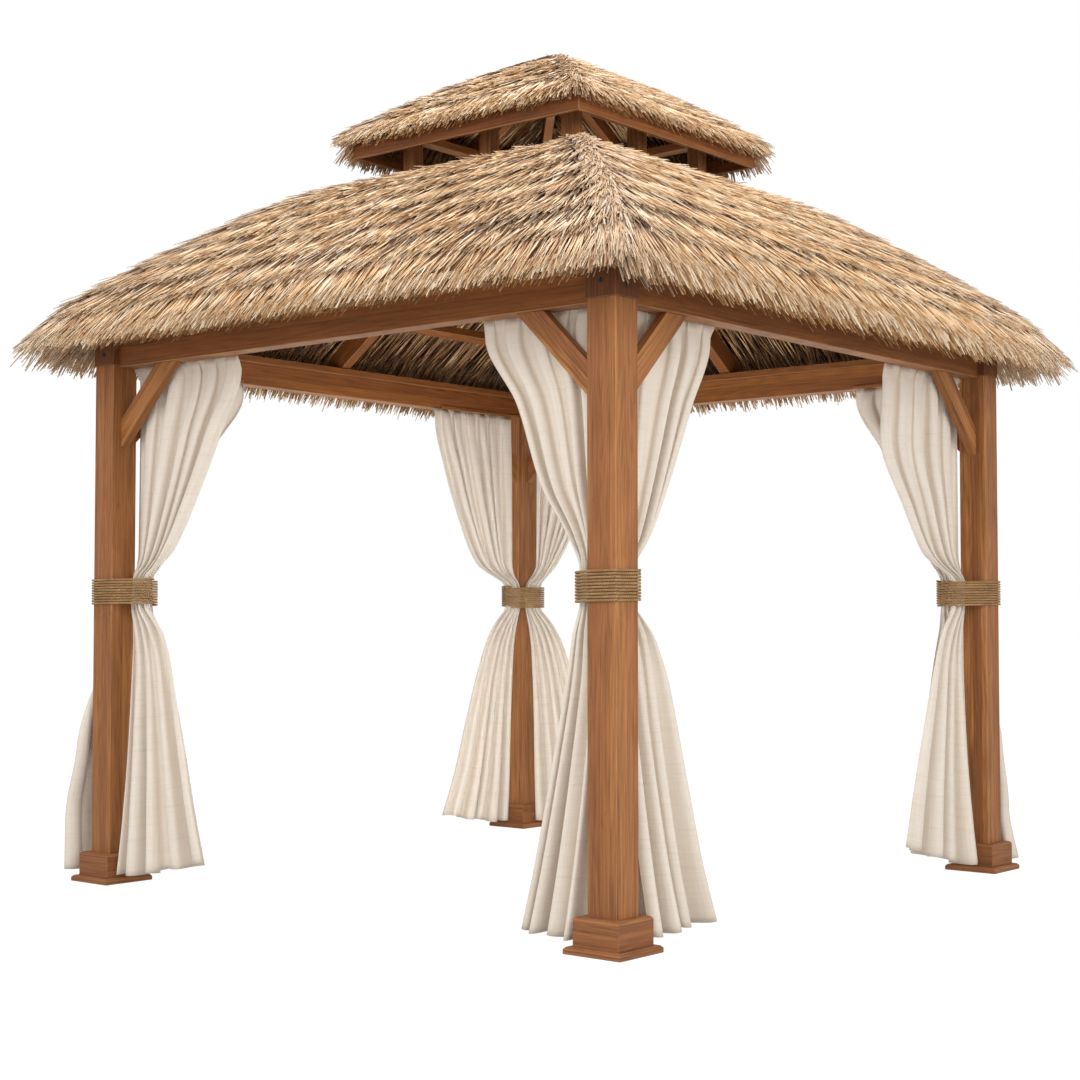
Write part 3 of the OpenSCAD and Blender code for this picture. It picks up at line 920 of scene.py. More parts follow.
@dataclass
class Reeds:
    """Many strands: where each starts, how it runs, and how it looks."""

    root: Array
    along: Array
    face: Array
    length: Array
    width: Array
    lift: Array
    droop: Array
    tone: Array
    faded: Array

    def stamp(self, stalk: Stalk, name: str, place: int) -> bpy.types.Mesh:
        """Bends a copy of the template along every strand.

        Args:
            stalk: The template.
            name: Name of the mesh.
            place: The strands' side, counted from the south.

        Returns:
            One mesh with every strand, and its tone, along and faded attributes.
        """
        points, faces = stalk.template()
        count, size = len(self.length), len(points)
        share = points[:, 0][None, :, None]
        side = units(np.cross(self.face, self.along))
        length = self.length[:, None, None]
        line = self.root[:, None] + self.along[:, None] * (length * share)
        line = line + self.face[:, None] * (self.lift[:, None, None] * share ** 1.5)
        line[:, :, 2] -= self.droop[:, None] * points[:, 0][None, :] ** 2
        half = self.width[:, None, None] / 2
        line = line + side[:, None] * (half * points[:, 1][None, :, None])
        line = line + self.face[:, None] * (half * 0.6 * points[:, 2][None, :, None])
        spin = np.array(turned(place).to_3x3())
        line = line.reshape(-1, 3) @ spin.T
        index = (faces[None] + (np.arange(count) * size)[:, None, None]).reshape(-1, 3)
        mesh = bpy.data.meshes.new(name)
        mesh.from_pydata(line, [], index)
        write_values(mesh, "tone", np.repeat(self.tone, size))
        write_values(mesh, "along", np.tile(points[:, 0], count))
        write_values(mesh, "faded", np.repeat(self.faded, size))
        mesh.shade_smooth()
        return mesh

    @staticmethod
    def together(parts: Sequence["Reeds"]) -> "Reeds":
        """Joins several lots of strands into one."""
        names = Reeds.__dataclass_fields__
        return Reeds(**{n: np.concatenate([getattr(p, n) for p in parts]) for n in names})


@dataclass
class ThatchedRoof:
    """Four slopes of reed in courses, with a hanging fringe, over a dark packed bed."""

    node: str
    start: float
    end: float
    height_at: Callable[[float], float]
    pitch: float
    thick: float
    thinning: float
    courses: int
    board: float
    fringe_drop: float
    density: float = 300.0
    last_fill: float = 1.5
    fringe_fill: float = 1.7
    hip_density: float = 900.0
    stray_density: float = 80.0
    stalk_density: float = 300.0
    eave_droop: float = 0.35
    strand_w: float = 0.0098
    hang: tuple[float, ...] = (0.57, 0.88, 1.13, 1.13)
    longest: float = 0.30
    shortest: float = 0.17
    fullest: float = 0.56
    columns: int = 40
    bed_sink: float = 0.014
    bed_short: float = 0.03
    bed_thinnest: float = 0.003
    overlap: float = 0.015
    waviness: float = 0.055
    drift: float = 0.09
    most_lean: float = 1.8
    fan: int = 7
    tucked: float = 0.9
    course_lap: float = 0.35
    course_depth: tuple[float, float] = (0.008, 0.018)
    course_lift: tuple[float, float] = (0.006, 0.026)
    leans: tuple[float, float, float, float] = (0.17, 0.24, 0.32, 0.20)
    stalk_clearance: float = 0.001
    clearance: float = 0.0003

    def base(self, s: Array) -> Array:
        """Height of the underside at plan distances from the centre."""
        fall = (s - self.start) * math.tan(self.pitch)
        return self.height_at(self.start) + self.clearance - fall

    def top(self, s: Array) -> Array:
        """Height of the smooth top of the thatch."""
        t = (s - self.start) / (self.end - self.start)
        swell = 1 - self.thinning * np.abs((t - self.fullest) / self.fullest) ** 3
        return self.base(s) + self.thick * swell

    def tangent(self, s: Array) -> tuple[Array, Array]:
        """Unit run and rise down the top surface, seen from the side."""
        step = 0.004
        rise = (self.top(s + step) - self.top(s - step)) / (2 * step)
        size = np.sqrt(1 + rise ** 2)
        return 1 / size, rise / size

    def two_waves(self, rng: Rng, x: Array, slow: float, fast: float) -> Array:
        """A slow and a fast wave along X, each from a random start."""
        return np.sin(x * slow + rng.uniform(0, 6)) + 0.7 * np.sin(x * fast + rng.uniform(0, 6))

    def strands(
        self, rng: Rng, tip_s: Array, share: Array, length: Array, depth: Array, lift: Array,
        droop: Array, loose: float, sink: Array | float = 0.0,
    ) -> Reeds:
        """Lays strands whose tips reach given places on the south slope.

        Args:
            rng: Source of the strands' leans and tones.
            tip_s: Plan distance of each tip from the centre.
            share: Place of each tip across the slope, -1 to 1.
            length: Length of each strand.
            depth: How far each root lies under the smooth top.
            lift: How far each tip stands off the line of its root.
            droop: How far each tip hangs down.
            loose: Spread of the leans, in radians.
            sink: How far under the smooth top each strand aims.

        Returns:
            The strands.
        """
        count = len(tip_s)
        root_s = np.maximum(tip_s - length * math.cos(self.pitch), self.start * self.tucked)
        fan = np.abs(share) ** self.fan
        tip_x = share * tip_s
        drift = self.two_waves(rng, tip_x, 11, 29) * self.drift
        most = self.most_lean * loose
        lean = np.clip(rng.normal(0, loose, count), -most, most) + drift
        root_x = share * (tip_s - fan * (tip_s - root_s)) - np.tan(lean) * (tip_s - root_s)
        root_x = np.clip(root_x, -root_s - self.overlap, root_s + self.overlap)
        run, rise = self.tangent(root_s)
        normal = np.stack([np.zeros(count), rise, run], 1)
        root = np.stack([root_x, -root_s, self.top(root_s)], 1) - normal * depth[:, None]
        along = np.stack([tip_x, -tip_s, self.top(tip_s) - sink], 1) - root
        size = np.linalg.norm(along, axis=1)
        along = units(along)
        roll = rng.normal(0, 0.5, count)
        side = np.cross(normal, along)
        face = units(np.cross(along, side))
        face = face * np.cos(roll)[:, None] + units(side) * np.sin(roll)[:, None]
        tone = np.clip(rng.beta(2.2, 2.0, count), 0, 1)
        faded = np.clip(np.abs(share) ** 5 * rng.uniform(0.2, 1.1, count), 0, 1)
        return Reeds(
            root, along, face, size, self.strand_w * rng.uniform(0.6, 1.25, count),
            lift, droop, tone, faded,
        )

    def flat_at_top(self, s: Array) -> Array:
        """Share of a strand's lift that is left at plan distances near the top of the slope."""
        return np.clip((s - self.start) / 0.4, 0.15, 1.0)

    def lay_courses(self, rng: Rng) -> Reeds:
        """Lays every course of one slope, from the eave up."""
        step = (self.end - self.start) / self.courses
        parts = []
        for course in range(1, self.courses + 1):
            line = min(self.start + (course + self.course_lap) * step, self.end)
            last = line == self.end
            count = int(2 * line * self.density * (self.last_fill if last else 1.0))
            layer = rng.uniform(0, 1, count)
            share = rng.uniform(-1, 1, count)
            wave = self.two_waves(rng, share * line, 5.1, 12.7) * step * self.waviness
            tip_s = line + wave + rng.normal(0, step * 0.08, count) - layer * step * 0.16
            length = rng.uniform(self.shortest, self.longest, count)
            depth = self.course_depth[0] + (1 - layer) * self.course_depth[1]
            lift = self.course_lift[0] + layer * self.course_lift[1]
            lift = (lift + rng.exponential(0.005, count)) * self.flat_at_top(tip_s)
            droop = rng.uniform(0.004, 0.022, count) + last * self.eave_droop * self.fringe_drop
            parts.append(
                self.strands(rng, tip_s, share, length, depth, lift, droop, self.leans[0])
            )
        return Reeds.together(parts)

    def lay_hips(self, rng: Rng) -> Reeds:
        """Lays the short strands that cover the hip at the slope's east end."""
        count = int((self.end - self.start) * self.hip_density)
        s = rng.uniform(self.start + 0.08, self.end + 0.004, count)
        share = 1 - rng.uniform(-0.02, 0.07, count)
        length = rng.uniform(self.shortest * 0.9, self.longest * 0.9, count)
        lift = rng.uniform(0.012, 0.034, count) * self.flat_at_top(s)
        depth = rng.uniform(-0.006, 0.006, count)
        at_eave = np.clip((s - self.board) / 0.1, 0, 1)
        droop = rng.uniform(0.0, 0.02, count) + self.eave_droop * self.fringe_drop * at_eave
        reeds = self.strands(rng, s, share, length, depth, lift, droop, self.leans[1])
        reeds.faded = rng.uniform(0.35, 1.0, count)
        return reeds

    def lay_strays(self, rng: Rng) -> Reeds:
        """Lays a few strands that stand off the surface."""
        count = int((self.end ** 2 - self.start ** 2) * self.stray_density)
        s = np.sqrt(rng.uniform(self.start ** 2, self.end ** 2, count))
        share = rng.uniform(-1, 1, count)
        length = rng.uniform(self.shortest * 0.6, self.longest * 0.8, count)
        lift = rng.uniform(0.015, 0.038, count)
        depth, droop = np.zeros(count), lift * 0.3
        reeds = self.strands(rng, s, share, length, depth, lift, droop, self.leans[2])
        reeds.tone = rng.uniform(0.5, 1.0, count)
        return reeds

    def lay_fringe(self, rng: Rng, hang: float) -> Reeds:
        """Hangs the strands of the eave, from the top of the thatch to its underside.

        Args:
            rng: Source of the strands' places.
            hang: How low they hang, as a share of the roof's own drop.

        Returns:
            The strands.
        """
        count = int(2 * self.end * self.density * self.fringe_fill)
        level = rng.uniform(0, 1, count)
        share = rng.uniform(-1, 1, count)
        reach = self.end - self.board
        tip_s = self.end + 0.008 - level * reach * 0.80 + rng.normal(0, reach * 0.05, count)
        length = rng.uniform(self.longest * 0.62, self.longest * 1.08, count)
        root_s = tip_s - length * math.cos(self.pitch)
        deep = self.top(root_s) - self.base(root_s)
        depth = level ** 1.5 * (deep - 0.020) - 0.006
        edge = self.top(tip_s) - self.base(tip_s)
        droop = self.fringe_drop * hang * (1.0 + 0.15 * level) * rng.uniform(0.65, 1.3, count)
        lift = (1 - level) * 0.020 + rng.normal(0.0, 0.005, count)
        sink = level * np.maximum(edge - 0.012, 0)
        lean = self.leans[3]
        reeds = self.strands(rng, tip_s, share, length, depth, lift, droop, lean, sink)
        # painted shade: strands that lie deeper in the fringe are made darker
        reeds.tone = np.clip(reeds.tone * (1.25 - 1.15 * level), 0, 1)
        reeds.width *= 1.35
        return reeds

    def lay_stalks(self, rng: Rng) -> Reeds:
        """Lays the long stalks that are seen from inside, under the bed."""
        count = int((self.end ** 2 - self.start ** 2) * self.stalk_density)
        s = np.sqrt(rng.uniform((self.start + 0.05) ** 2, (self.board - 0.03) ** 2, count))
        share = rng.uniform(-0.97, 0.97, count)
        length = rng.uniform(0.25, 0.55, count)
        run, fall = math.cos(self.pitch), -math.sin(self.pitch)
        root_s = np.maximum(s - length * run, self.start + 0.01)
        length = (s - root_s) / run
        lean = rng.normal(0, 0.05, count)
        low = self.base(root_s) - self.stalk_clearance
        root = np.stack([share * root_s, -root_s, low], 1)
        along = np.stack([np.sin(lean), -run * np.cos(lean), fall * np.cos(lean)], 1)
        face = np.tile([0.0, fall, -run], (count, 1))
        tone = rng.uniform(0.0, 0.55, count)
        width, lift, droop = (
            rng.uniform(low, high, count) for low, high in ((0.006, 0.011), (0, 0.004), (0, 0.01))
        )
        return Reeds(root, along, face, length, width, lift, droop, tone, np.zeros(count))

    def build_bed(self, place: int) -> None:
        """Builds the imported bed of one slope, a sheet laid double, which stands for its node.

        Args:
            place: The side, counted from the south.
        """
        bm = bmesh.new()
        bmesh.ops.create_grid(bm, x_segments=self.columns, y_segments=self.columns, size=1.0)
        bmesh.ops.extrude_face_region(bm, geom=bm.faces[:], use_keep_orig=True)
        fall = bm.verts.layers.float_vector.new("fall")
        for vert in bm.verts:
            x, t = vert.co.x, (vert.co.y + 1) / 2
            s = self.start + t * (self.end - self.bed_short - self.start)
            under = self.bed_sink * (0.25 + 0.75 * min(1.0, t * 6))
            high = float(self.top(np.array(s))) - under
            lowest = float(self.base(np.array(s))) + self.bed_thinnest
            vert.co = (x * s, -s, max(high, lowest))
            vert[fall] = Vector((s / math.cos(self.pitch), x * s, vert.co.z))
        bmesh.ops.recalc_face_normals(bm, faces=bm.faces[:])
        turn(bm, bm.verts[:], place)
        node = self.node + SIDES[place]
        add_piece(node, "bed", made_mesh(bm, node + "_bed"), Finishes.BED)

    def build(self, rng: Rng) -> None:
        """Builds the four slopes.

        Args:
            rng: Source of every strand's place and look.
        """
        for place in range(4):
            node = self.node + SIDES[place]
            self.build_bed(place)
            for part, stalk, reeds in (
                ("courses", SHORT_STALK, self.lay_courses(rng)),
                ("loose", BENT_STALK, Reeds.together([self.lay_hips(rng), self.lay_strays(rng)])),
                ("fringe", BENT_STALK, self.lay_fringe(rng, self.hang[place])),
                ("stalks", SHORT_STALK, self.lay_stalks(rng)),
            ):
                mesh = reeds.stamp(stalk, f"{node}_{part}", place)
                add_piece(node, part, mesh, Finishes.STRANDS)


# Curtains


@dataclass(frozen=True)
class HangRow:
    """One level of a hanging curtain, measured from its post's centre."""

    height: float
    first_u: float
    last_u: float
    first_v: float
    last_v: float
    swing: float


@dataclass
class Curtain:
    """A tied-back linen curtain, as one thin folded sheet."""

    name: str
    place: int
    flipped: bool
    header_w: float = 0.704
    hem_w: float = 0.560
    rise: float = 0.0
    off_post: float = 0.0
    blown: tuple[tuple[float, float], ...] = ()
    spread: tuple[float, ...] = (0.80, 0.53, 0.345)
    flare: tuple[float, ...] = (0.20, 0.34, 0.60, 0.80)
    upper_levels: tuple[float, ...] = (2.145, 1.808, 1.600)
    lower_levels: tuple[float, ...] = (1.20, 1.07, 0.65, 0.30)
    header_z: float = 2.4997
    header_u: float = 0.076
    header_v: float = 0.051
    inside_braces: float = 0.066
    hem_z: float = 0.040
    hem_u: float = 0.1165
    hem_in: float = 0.040
    hem_fold: float = 0.068
    band_top: float = 1.471
    band_bottom: float = 1.333
    bundle_along: float = 0.054
    bundle_across: float = 0.043
    folds_above: int = 5
    folds_below: int = 4
    across: int = 140
    down: int = 84
    thickness: float = 0.0014
    header_step: float = 0.028
    header_drop: float = 0.06
    header_swings: tuple[float, float, float] = (0.004, 0.024, 0.035)
    band_margin: float = 0.006
    blown_share: float = 0.55
    bundled_under: float = 0.022
    loose_for: float = 0.2
    roll: float = 0.018
    crease: float = 0.0065
    crease_reach: float = 0.15
    pleats: int = 15
    pleat: float = 0.0030
    pleat_reach: float = 0.07
    ripple: float = 0.006
    ripple_under: float = 0.4
    flat_w: float = 0.98
    flat_l: float = CURTAIN_LENGTH

    def rows(self) -> tuple[list[HangRow], list[HangRow]]:
        """The levels that the sheet passes through, above the band and below it."""
        u, w, v = self.header_u, self.header_w, self.inside_braces
        start = u + self.header_step + self.off_post
        sewn, gathered, full = self.header_swings
        waist = PLAN.bundle_v
        tight = (PLAN.bundle_u - self.bundle_along, PLAN.bundle_u + self.bundle_along)
        bound = (*tight, waist, waist, 0.0)
        upper = [
            HangRow(self.header_z, u + self.off_post, u + w, self.header_v, self.header_v, sewn),
            HangRow(self.header_z - self.header_drop, start, u + w, v, v, gathered),
        ]
        for height, share in zip(self.upper_levels, self.spread):
            upper.append(HangRow(height, start, u + w * share, v, v, full))
        upper.append(HangRow(self.band_top + self.band_margin, *bound))
        lower = [HangRow(self.band_bottom - self.band_margin, *bound)]
        fall = self.band_bottom - self.hem_z
        heights = (*self.lower_levels, self.hem_z)
        for index, (height, share) in enumerate(zip(heights, (*self.flare, 1.0))):
            t = (self.band_bottom - height) / fall
            first = (
                tight[0] + (self.hem_u - tight[0]) * t,
                waist - (self.hem_in + waist) * t ** 2,
            )
            last_v = waist - (waist - self.hem_in) * t ** 2
            if self.blown:
                first = self.blown[index]
                last_v = first[1] * self.blown_share
            last_u = tight[1] + (self.hem_u + self.hem_w - tight[1]) * share
            swing = self.hem_fold * (0.25 + 0.75 * t) * min(1.0, 3.2 * t)
            lower.append(HangRow(height, first[0], last_u, first[1], last_v, swing))
        return upper, lower

    def flowing(self, rows: Sequence[HangRow], heights: Array) -> dict[str, Array]:
        """Runs smooth curves without overshoot through levels.

        Args:
            rows: The levels, from the highest down.
            heights: Heights where the curves are read.

        Returns:
            Each measure of a level by name, at those heights.
        """
        z = -np.array([r.height for r in rows])
        gaps = np.diff(z)
        i = np.clip(np.searchsorted(z, -heights) - 1, 0, len(gaps) - 1)
        h = gaps[i]
        t = np.clip((-heights - z[i]) / h, 0, 1)
        out = {}
        for name in ("first_u", "last_u", "first_v", "last_v", "swing"):
            y = np.array([getattr(r, name) for r in rows])
            slopes = np.diff(y) / gaps
            lean = np.zeros(len(y))
            near, far = gaps[1:] + 2 * gaps[:-1], 2 * gaps[1:] + gaps[:-1]
            with np.errstate(divide="ignore", invalid="ignore"):
                mean = (near + far) / (near / slopes[:-1] + far / slopes[1:])
            lean[1:-1] = np.where(slopes[1:] * slopes[:-1] > 0, mean, 0.0)
            lean[0], lean[-1] = slopes[0], slopes[-1]
            out[name] = (
                (2 * t ** 3 - 3 * t ** 2 + 1) * y[i] + (t ** 3 - 2 * t ** 2 + t) * h * lean[i]
                + (3 * t ** 2 - 2 * t ** 3) * y[i + 1] + (t ** 3 - t ** 2) * h * lean[i + 1]
            )
        return out

    def phase(self, p: Array, folds: int, rng: Rng) -> Array:
        """Unevenly spaced folds: how far round its waves the cloth is at a share p of its width."""
        warped = p.copy()
        for k in range(1, 4):
            size = rng.uniform(-0.040, 0.040) / k
            warped = warped + size * np.sin(2 * math.pi * k * p + rng.uniform(0, 6.28))
        return 2 * math.pi * folds * warped

    def points(self, rng: Rng) -> Array:
        """Where every point of the sheet hangs, in the south-east corner.

        Args:
            rng: Source of the folds' spacing and depth.

        Returns:
            Points by row and column.
        """
        p = np.linspace(0, 1, self.across)
        z = self.header_z + (self.hem_z - self.header_z) * np.linspace(0, 1, self.down)
        upper, lower = self.rows()
        over, under = self.flowing(upper, z), self.flowing(lower, z)
        high = z > (self.band_top + self.band_bottom) / 2
        level = {n: np.where(high, over[n], under[n])[:, None] for n in over}
        P, Z = np.meshgrid(p, z)
        above = self.phase(p, self.folds_above, rng)
        below = self.phase(p, self.folds_below, rng)
        passed = np.clip((self.band_top - Z) / (self.band_top - self.band_bottom), 0, 1)
        fall = np.clip((self.band_bottom - Z) / (self.band_bottom - self.hem_z), 0, 1)
        swing = level["swing"]
        deep_above = 0.70 + 0.30 * np.sin(above / 2.7 + rng.uniform(0, 6) + 1.3 * Z)
        deep_below = 0.76 + 0.24 * np.sin(below / 2.3 + rng.uniform(0, 6) + 0.8 * Z)
        wave = np.sin(above) * deep_above * (1 - passed) + np.sin(below) * deep_below * passed
        roll = np.sin(2 * above) * (1 - passed) + np.sin(2 * below) * passed
        crease = np.sin(3 * above + 1.1) * (1 - passed) + np.sin(3 * below + 0.4) * passed
        off_band = np.abs(Z - (self.band_top + self.band_bottom) / 2)
        crease = crease * np.exp(-off_band / self.crease_reach) * self.crease
        width = level["last_u"] - level["first_u"]
        bundle = self.bundle_across * np.sqrt(np.clip(1 - (2 * P - 1) ** 2, 0, 1))
        tight = np.clip(1 - swing / self.bundled_under, 0, 1)
        tight = tight * (Z < self.header_z - self.loose_for)
        pleat = np.sin(2 * math.pi * self.pleats * P) * self.pleat
        pleat = np.exp(-(self.header_z - Z) / self.pleat_reach) * pleat
        u = level["first_u"] + width * P - roll * width * self.roll
        v = level["first_v"] + (level["last_v"] - level["first_v"]) * P
        v = v + wave * (swing * (1 - tight) + bundle * tight) + crease + pleat
        at_hem = np.clip((self.ripple_under - Z) / self.ripple_under, 0, 1)
        ripple = self.ripple * np.sin(below * 0.5 + 1.0) * at_hem
        rise = self.rise * P ** 1.4 * fall
        return np.stack([PLAN.half - u, -PLAN.half + v, Z + ripple + rise], -1)

    def build(self, rng: Rng) -> None:
        """Args:
            rng: Source of the folds' spacing and depth.
        """
        points = self.points(rng)
        bm = bmesh.new()
        bmesh.ops.create_grid(bm, x_segments=self.across - 1, y_segments=self.down - 1, size=1.0)
        cloth = bm.verts.layers.float_vector.new("cloth")
        for vert in bm.verts:
            column = round((vert.co.x + 1) / 2 * (self.across - 1))
            row = round((1 - vert.co.y) / 2 * (self.down - 1))
            vert[cloth] = Vector((
                column / (self.across - 1) * self.flat_w, row / (self.down - 1) * self.flat_l, 0
            ))
            vert.co = Vector(points[row, column])
        if self.flipped:
            bmesh.ops.scale(bm, vec=(-1, 1, 1), verts=bm.verts[:])
            bmesh.ops.reverse_faces(bm, faces=bm.faces[:])
        turn(bm, bm.verts[:], self.place)
        mesh = made_mesh(bm, self.name)
        mesh.shade_smooth()
        piece = add_piece(self.name, "linen", mesh, Finishes.LINEN)
        body = piece.modifiers.new("cloth_thickness", "SOLIDIFY")
        body.thickness = self.thickness
        body.offset = 0.0


# Rope bands


@dataclass
class RopeBand:
    """One rope wound about a post and its two gathered curtains."""

    place: int
    rope_d: float = 0.0115
    pitch: float = 0.0126
    turns: int = 10
    bottom: float = 1.33325
    bundle_along: float = 0.062
    bundle_across: float = 0.052
    clearance: float = 0.0006
    lay_length: float = 0.040
    rings_per_lay: int = 8
    plan_points: int = 181
    plan_ways: int = 721
    strands: int = 3
    groove_depth: float = 0.34
    corners: int = 12
    start_angle: float = math.radians(135)

    def hull(self) -> Array:
        """Points of the post and of both curtains that the rope may touch, round the post."""
        half = PLAN.post_w / 2
        post = [(x, y) for x in (-half, half) for y in (-half, half)]
        a = np.linspace(0, 2 * math.pi, self.plan_points)[:-1]
        long, short, u, v = self.bundle_along, self.bundle_across, PLAN.bundle_u, PLAN.bundle_v
        first = np.stack([-u + long * np.cos(a), v + short * np.sin(a)], 1)
        second = np.stack([-v + short * np.cos(a), u + long * np.sin(a)], 1)
        return np.concatenate([np.array(post), first, second])

    def one_turn(self) -> Array:
        """The rope's middle line in one turn, in plan, closed and evenly dense."""
        points = self.hull()
        angles = self.start_angle + np.linspace(0, 2 * math.pi, self.plan_ways)
        ways = np.stack([np.cos(angles), np.sin(angles)], 1)
        far = np.argmax(points @ ways.T, axis=0)
        return points[far] + ways * (self.rope_d / 2 + self.clearance)

    def route(self) -> Array:
        """The whole winding as points a few millimetres apart."""
        turn = self.one_turn()
        steps = np.linalg.norm(np.diff(turn, axis=0), axis=1)
        travelled = np.concatenate([[0], np.cumsum(steps)])
        around = travelled[-1]
        count = int(around * self.turns / (self.lay_length / self.rings_per_lay))
        at = np.linspace(0, around * self.turns, count)
        x = np.interp(at % around, travelled, turn[:, 0])
        y = np.interp(at % around, travelled, turn[:, 1])
        z = self.bottom + self.rope_d / 2 + at / around * self.pitch
        return np.stack([x, y, z], 1)

    def rings(self, route: Array) -> tuple[Array, Array, Array]:
        """The rope's surface, ring by ring.

        Args:
            route: Points along the middle line.

        Returns:
            The points of every ring, and for each point its lay (metres along and round the
            strand) and how deep it lies in a groove, from 0 to 1.
        """
        ahead = units(np.gradient(route, axis=0))
        side = units(np.cross(ahead, (0.0, 0.0, 1.0)))
        up = np.cross(side, ahead)
        around = np.linspace(0, 2 * math.pi, self.corners + 1)[:-1]
        groove = (1 - np.cos(self.strands * around)) / 2
        reach = self.rope_d / 2 * (1 - self.groove_depth * groove)
        index = np.arange(len(route))
        angle = around + index[:, None] * 2 * math.pi / self.rings_per_lay
        out = side[:, None] * np.cos(angle)[..., None] + up[:, None] * np.sin(angle)[..., None]
        points = route[:, None] + out * reach[:, None]
        lay = np.zeros(points.shape)
        lay[..., 0] = index[:, None] * self.lay_length / self.rings_per_lay
        lay[..., 1] = around * self.rope_d / 2
        return points, lay, np.broadcast_to(groove, points.shape[:2])

    def build(self, rng: Rng) -> None:
        """Lays the rope along its winding, twisting as it goes.

        Args:
            rng: Source of the place where the band's colours start.
        """
        points, lay, groove = self.rings(self.route())
        lay[..., 0] += rng.uniform(0, 20)
        count, corners = points.shape[:2]
        first = np.arange(count * corners).reshape(count, corners)
        beside = np.roll(first, -1, axis=1)
        walls = np.stack([first[1:], beside[1:], beside[:-1], first[:-1]], -1).reshape(-1, 4)
        ends = [first[0].tolist(), first[-1][::-1].tolist()]
        mesh = bpy.data.meshes.new("rope_line")
        mesh.from_pydata(points.reshape(-1, 3), [], walls.tolist() + ends)
        write_values(mesh, "lay", lay.reshape(-1, 3))
        # the groove depth also darkens the rope's colour, as painted shade
        write_values(mesh, "groove", groove.ravel())
        mesh.transform(turned(self.place) @ Matrix.Translation((PLAN.half, -PLAN.half, 0)))
        mesh.shade_smooth()
        add_piece("rope_band_" + CORNERS[self.place], "rope", mesh, Finishes.ROPE)


# Studio


@dataclass(frozen=True)
class Lamp:
    """A soft square lamp: its place, width, power in watts, and the place that it faces."""

    name: str
    at: tuple[float, float, float]
    size: float
    power: float
    aim: tuple[float, float, float] = (0.0, 0.0, 1.6)

    def build(self) -> None:
        """Hangs the lamp, which the camera doesn't see."""
        data = bpy.data.lights.new(self.name, "AREA")
        data.size = self.size
        data.energy = self.power
        lamp = shown(self.name, data)
        lamp.location = self.at
        way = Vector(self.aim) - Vector(self.at)
        lamp.rotation_euler = way.to_track_quat("-Z", "Y").to_euler()
        lamp.visible_camera = False


LAMPS = (
    Lamp("key", at=(1.5, -9.0, 6.5), size=5.0, power=340.0),
    Lamp("fill", at=(9.0, -1.5, 4.5), size=5.0, power=262.0),
    Lamp("front", at=(6.9, -8.3, 1.9), size=4.0, power=80.0),
    Lamp("inner", at=(0.5, -0.6, 1.2), size=1.5, power=42.0, aim=(-1.5, 1.5, 1.7)),
    Lamp("top", at=(0.8, -1.4, 10.0), size=4.0, power=400.0),
)


@dataclass
class Studio:
    """Camera, soft lights and floor."""

    eye: tuple[float, float, float] = (5.898, -7.211, 1.2844)
    tilt: float = math.radians(92.35)
    heading: float = math.radians(39.78)
    lens: float = 61.94
    sensor: float = 36.0
    sight: float = 200.0
    world_light: float = 0.74
    floor_reach: float = 60.0

    def set_camera(self) -> None:
        """Places the camera where the photograph was taken."""
        data = bpy.data.cameras.new("viewpoint")
        data.lens = self.lens
        data.sensor_width = self.sensor
        data.clip_end = self.sight
        camera = shown("viewpoint", data)
        camera.location = self.eye
        camera.rotation_euler = (self.tilt, 0.0, self.heading)
        bpy.context.scene.camera = camera

    def set_world(self) -> None:
        """White all round for the camera, and soft light for the gazebo."""
        world = bpy.data.worlds.new("soft_room")
        world.use_nodes = True
        tree = world.node_tree
        tree.nodes.clear()
        kinds = ("LightPath", "Math", "Background", "Background", "MixShader", "OutputWorld")
        rays, seen, room, white, mixed, output = (
            tree.nodes.new("ShaderNode" + kind) for kind in kinds
        )
        seen.operation = "MAXIMUM"
        for light in (room, white):
            light.inputs["Color"].default_value = WHITE
        room.inputs["Strength"].default_value = self.world_light
        for source, target in (
            (rays.outputs["Is Camera Ray"], seen.inputs[0]),
            (rays.outputs["Is Transmission Ray"], seen.inputs[1]),
            (seen.outputs[0], mixed.inputs[0]),
            (room.outputs[0], mixed.inputs[1]),
            (white.outputs[0], mixed.inputs[2]),
            (mixed.outputs[0], output.inputs["Surface"]),
        ):
            tree.links.new(source, target)
        bpy.context.scene.world = world

    def lay_floor(self) -> None:
        """Lays a wide white floor."""
        bm = bmesh.new()
        bmesh.ops.create_grid(bm, x_segments=1, y_segments=1, size=self.floor_reach)
        mesh = made_mesh(bm, "floor")
        mesh.materials.append(Finishes.FLOOR.material())
        shown("floor", mesh)

    def build(self) -> None:
        """Sets the whole stage."""
        self.set_camera()
        self.set_world()
        self.lay_floor()
        for lamp in LAMPS:
            lamp.build()
        bpy.context.scene.view_settings.view_transform = "Standard"


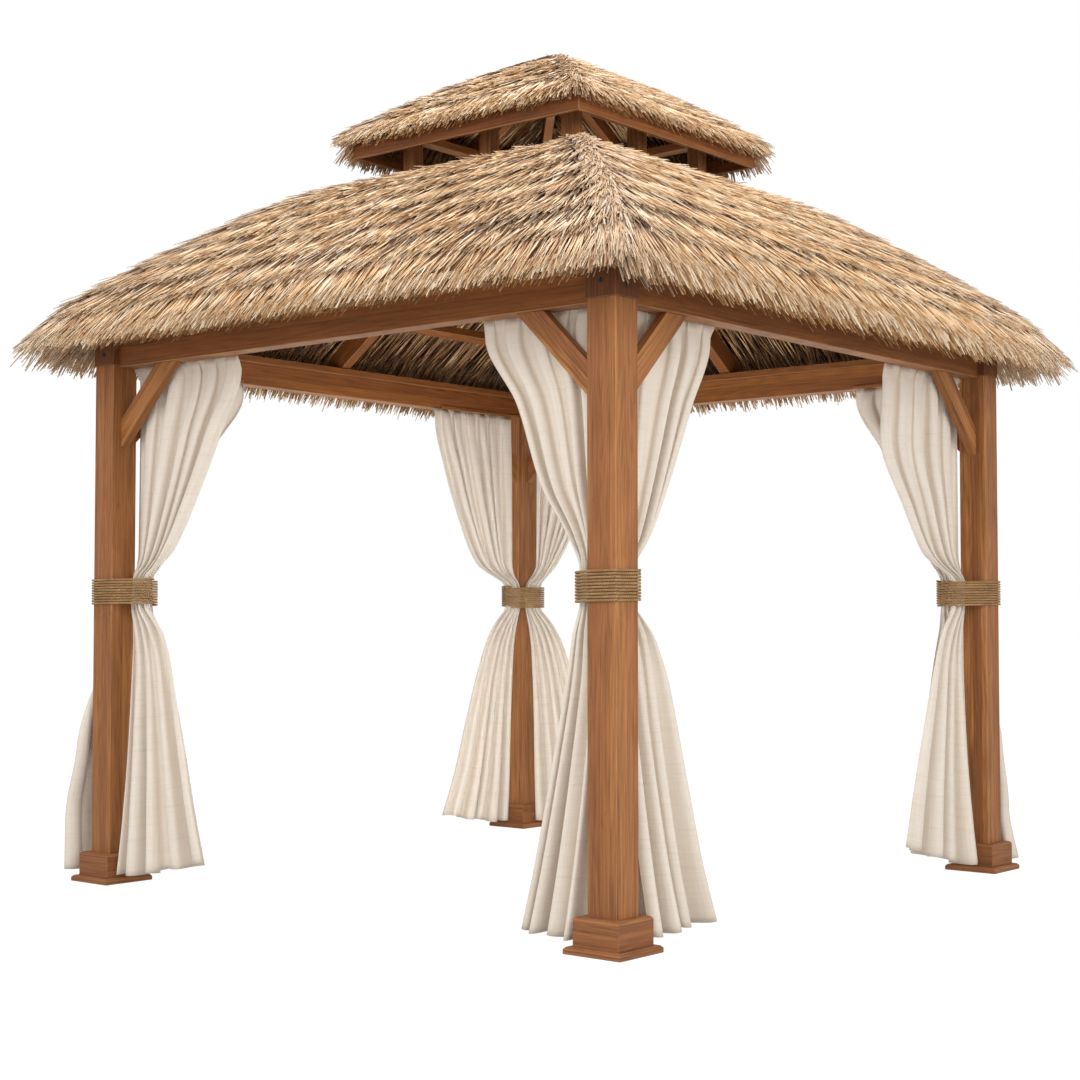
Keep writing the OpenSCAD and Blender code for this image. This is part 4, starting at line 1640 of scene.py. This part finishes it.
BESIDE_POST: tuple[tuple[float, float], ...] = (
    (0.105, 0.040), (0.115, 0.030), (0.130, 0.010), (0.135, 0.000), (0.140, -0.010),
)
HANGING: dict[str, dict] = {
    "s_east": {
        "header_w": 0.624, "hem_w": 0.360, "flat_w": 0.86, "spread": (0.72, 0.51, 0.28),
        "flare": (0.16, 0.24, 0.52, 0.78),
    },
    "s_west": {
        "header_w": 0.775, "spread": (0.80, 0.54, 0.345), "flare": (0.24, 0.37, 0.62, 0.82),
        "rise": 0.10,
    },
    "e_north": {
        "header_w": 0.790, "hem_w": 0.600, "spread": (1.04, 0.75, 0.51),
        "flare": (0.22, 0.34, 0.63, 0.85), "rise": 0.13,
    },
    "e_south": {"hem_w": 0.540, "spread": (0.79, 0.54, 0.35), "flare": (0.30, 0.43, 0.64, 0.82)},
    "n_west": {
        "header_w": 0.740, "flat_w": 0.86, "off_post": 0.09, "hem_fold": 0.048, "folds_above": 6,
        "folds_below": 5, "blown": BESIDE_POST, "rise": 0.05,
    },
    "n_east": {
        "header_w": 0.600, "hem_w": 0.360, "flat_w": 0.86, "spread": (0.74, 0.48, 0.32),
        "blown": (
            (0.088, -0.060), (0.080, -0.105), (-0.050, -0.135), (-0.050, -0.205), (-0.100, -0.205),
        ),
    },
    "w_south": {
        "header_w": 0.690, "spread": (0.72, 0.48, 0.31),
        "blown": (
            (0.088, -0.060), (0.030, -0.115), (-0.100, -0.160), (-0.100, -0.250), (-0.100, -0.255),
        ),
    },
    "w_north": {
        "header_w": 0.780, "flat_w": 0.86, "spread": (0.88, 0.68, 0.50), "off_post": 0.09,
        "hem_fold": 0.048, "folds_above": 6, "folds_below": 5, "blown": BESIDE_POST, "rise": 0.08,
    },
}


def main() -> None:
    """Builds the stage and every piece of the gazebo, in order."""
    logging.basicConfig(level=logging.INFO, format="%(message)s")
    Studio().build()
    TimberFrame().build(np.random.default_rng(11))
    foot_rng = np.random.default_rng(23)
    for place in range(4):
        Footing().build(place, foot_rng)
    ThatchedRoof(
        "thatch_", start=0.5453, end=1.885, height_at=PLAN.roof_plane, pitch=PLAN.pitch,
        thick=0.173, thinning=0.97, courses=9, board=PLAN.eave_board_outer, fringe_drop=0.100,
    ).build(np.random.default_rng(31))
    ThatchedRoof(
        "cupola_thatch_", start=0.004, end=0.790, height_at=PLAN.cupola_plane,
        pitch=PLAN.cupola_pitch, thick=0.066, thinning=0.62, courses=5, board=PLAN.fascia_outer,
        fringe_drop=0.040, longest=0.22, shortest=0.12, hang=(0.9, 1.0, 2.4, 2.4),
    ).build(np.random.default_rng(37))
    rope_rng = np.random.default_rng(41)
    for place in range(4):
        RopeBand(place).build(rope_rng)
    for index, end in enumerate(CURTAIN_ENDS):
        curtain = Curtain("curtain_" + end, index // 2, bool(index % 2), **HANGING[end])
        curtain.build(np.random.default_rng(50 + index))
    bolt_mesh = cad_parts["cap_bolts"].data
    bolt_mesh.materials.clear()
    bolt_mesh.materials.append(Finishes.STEEL.material())
    log.info("cap_bolts: dressed")


if __name__ == "__main__":
    main()
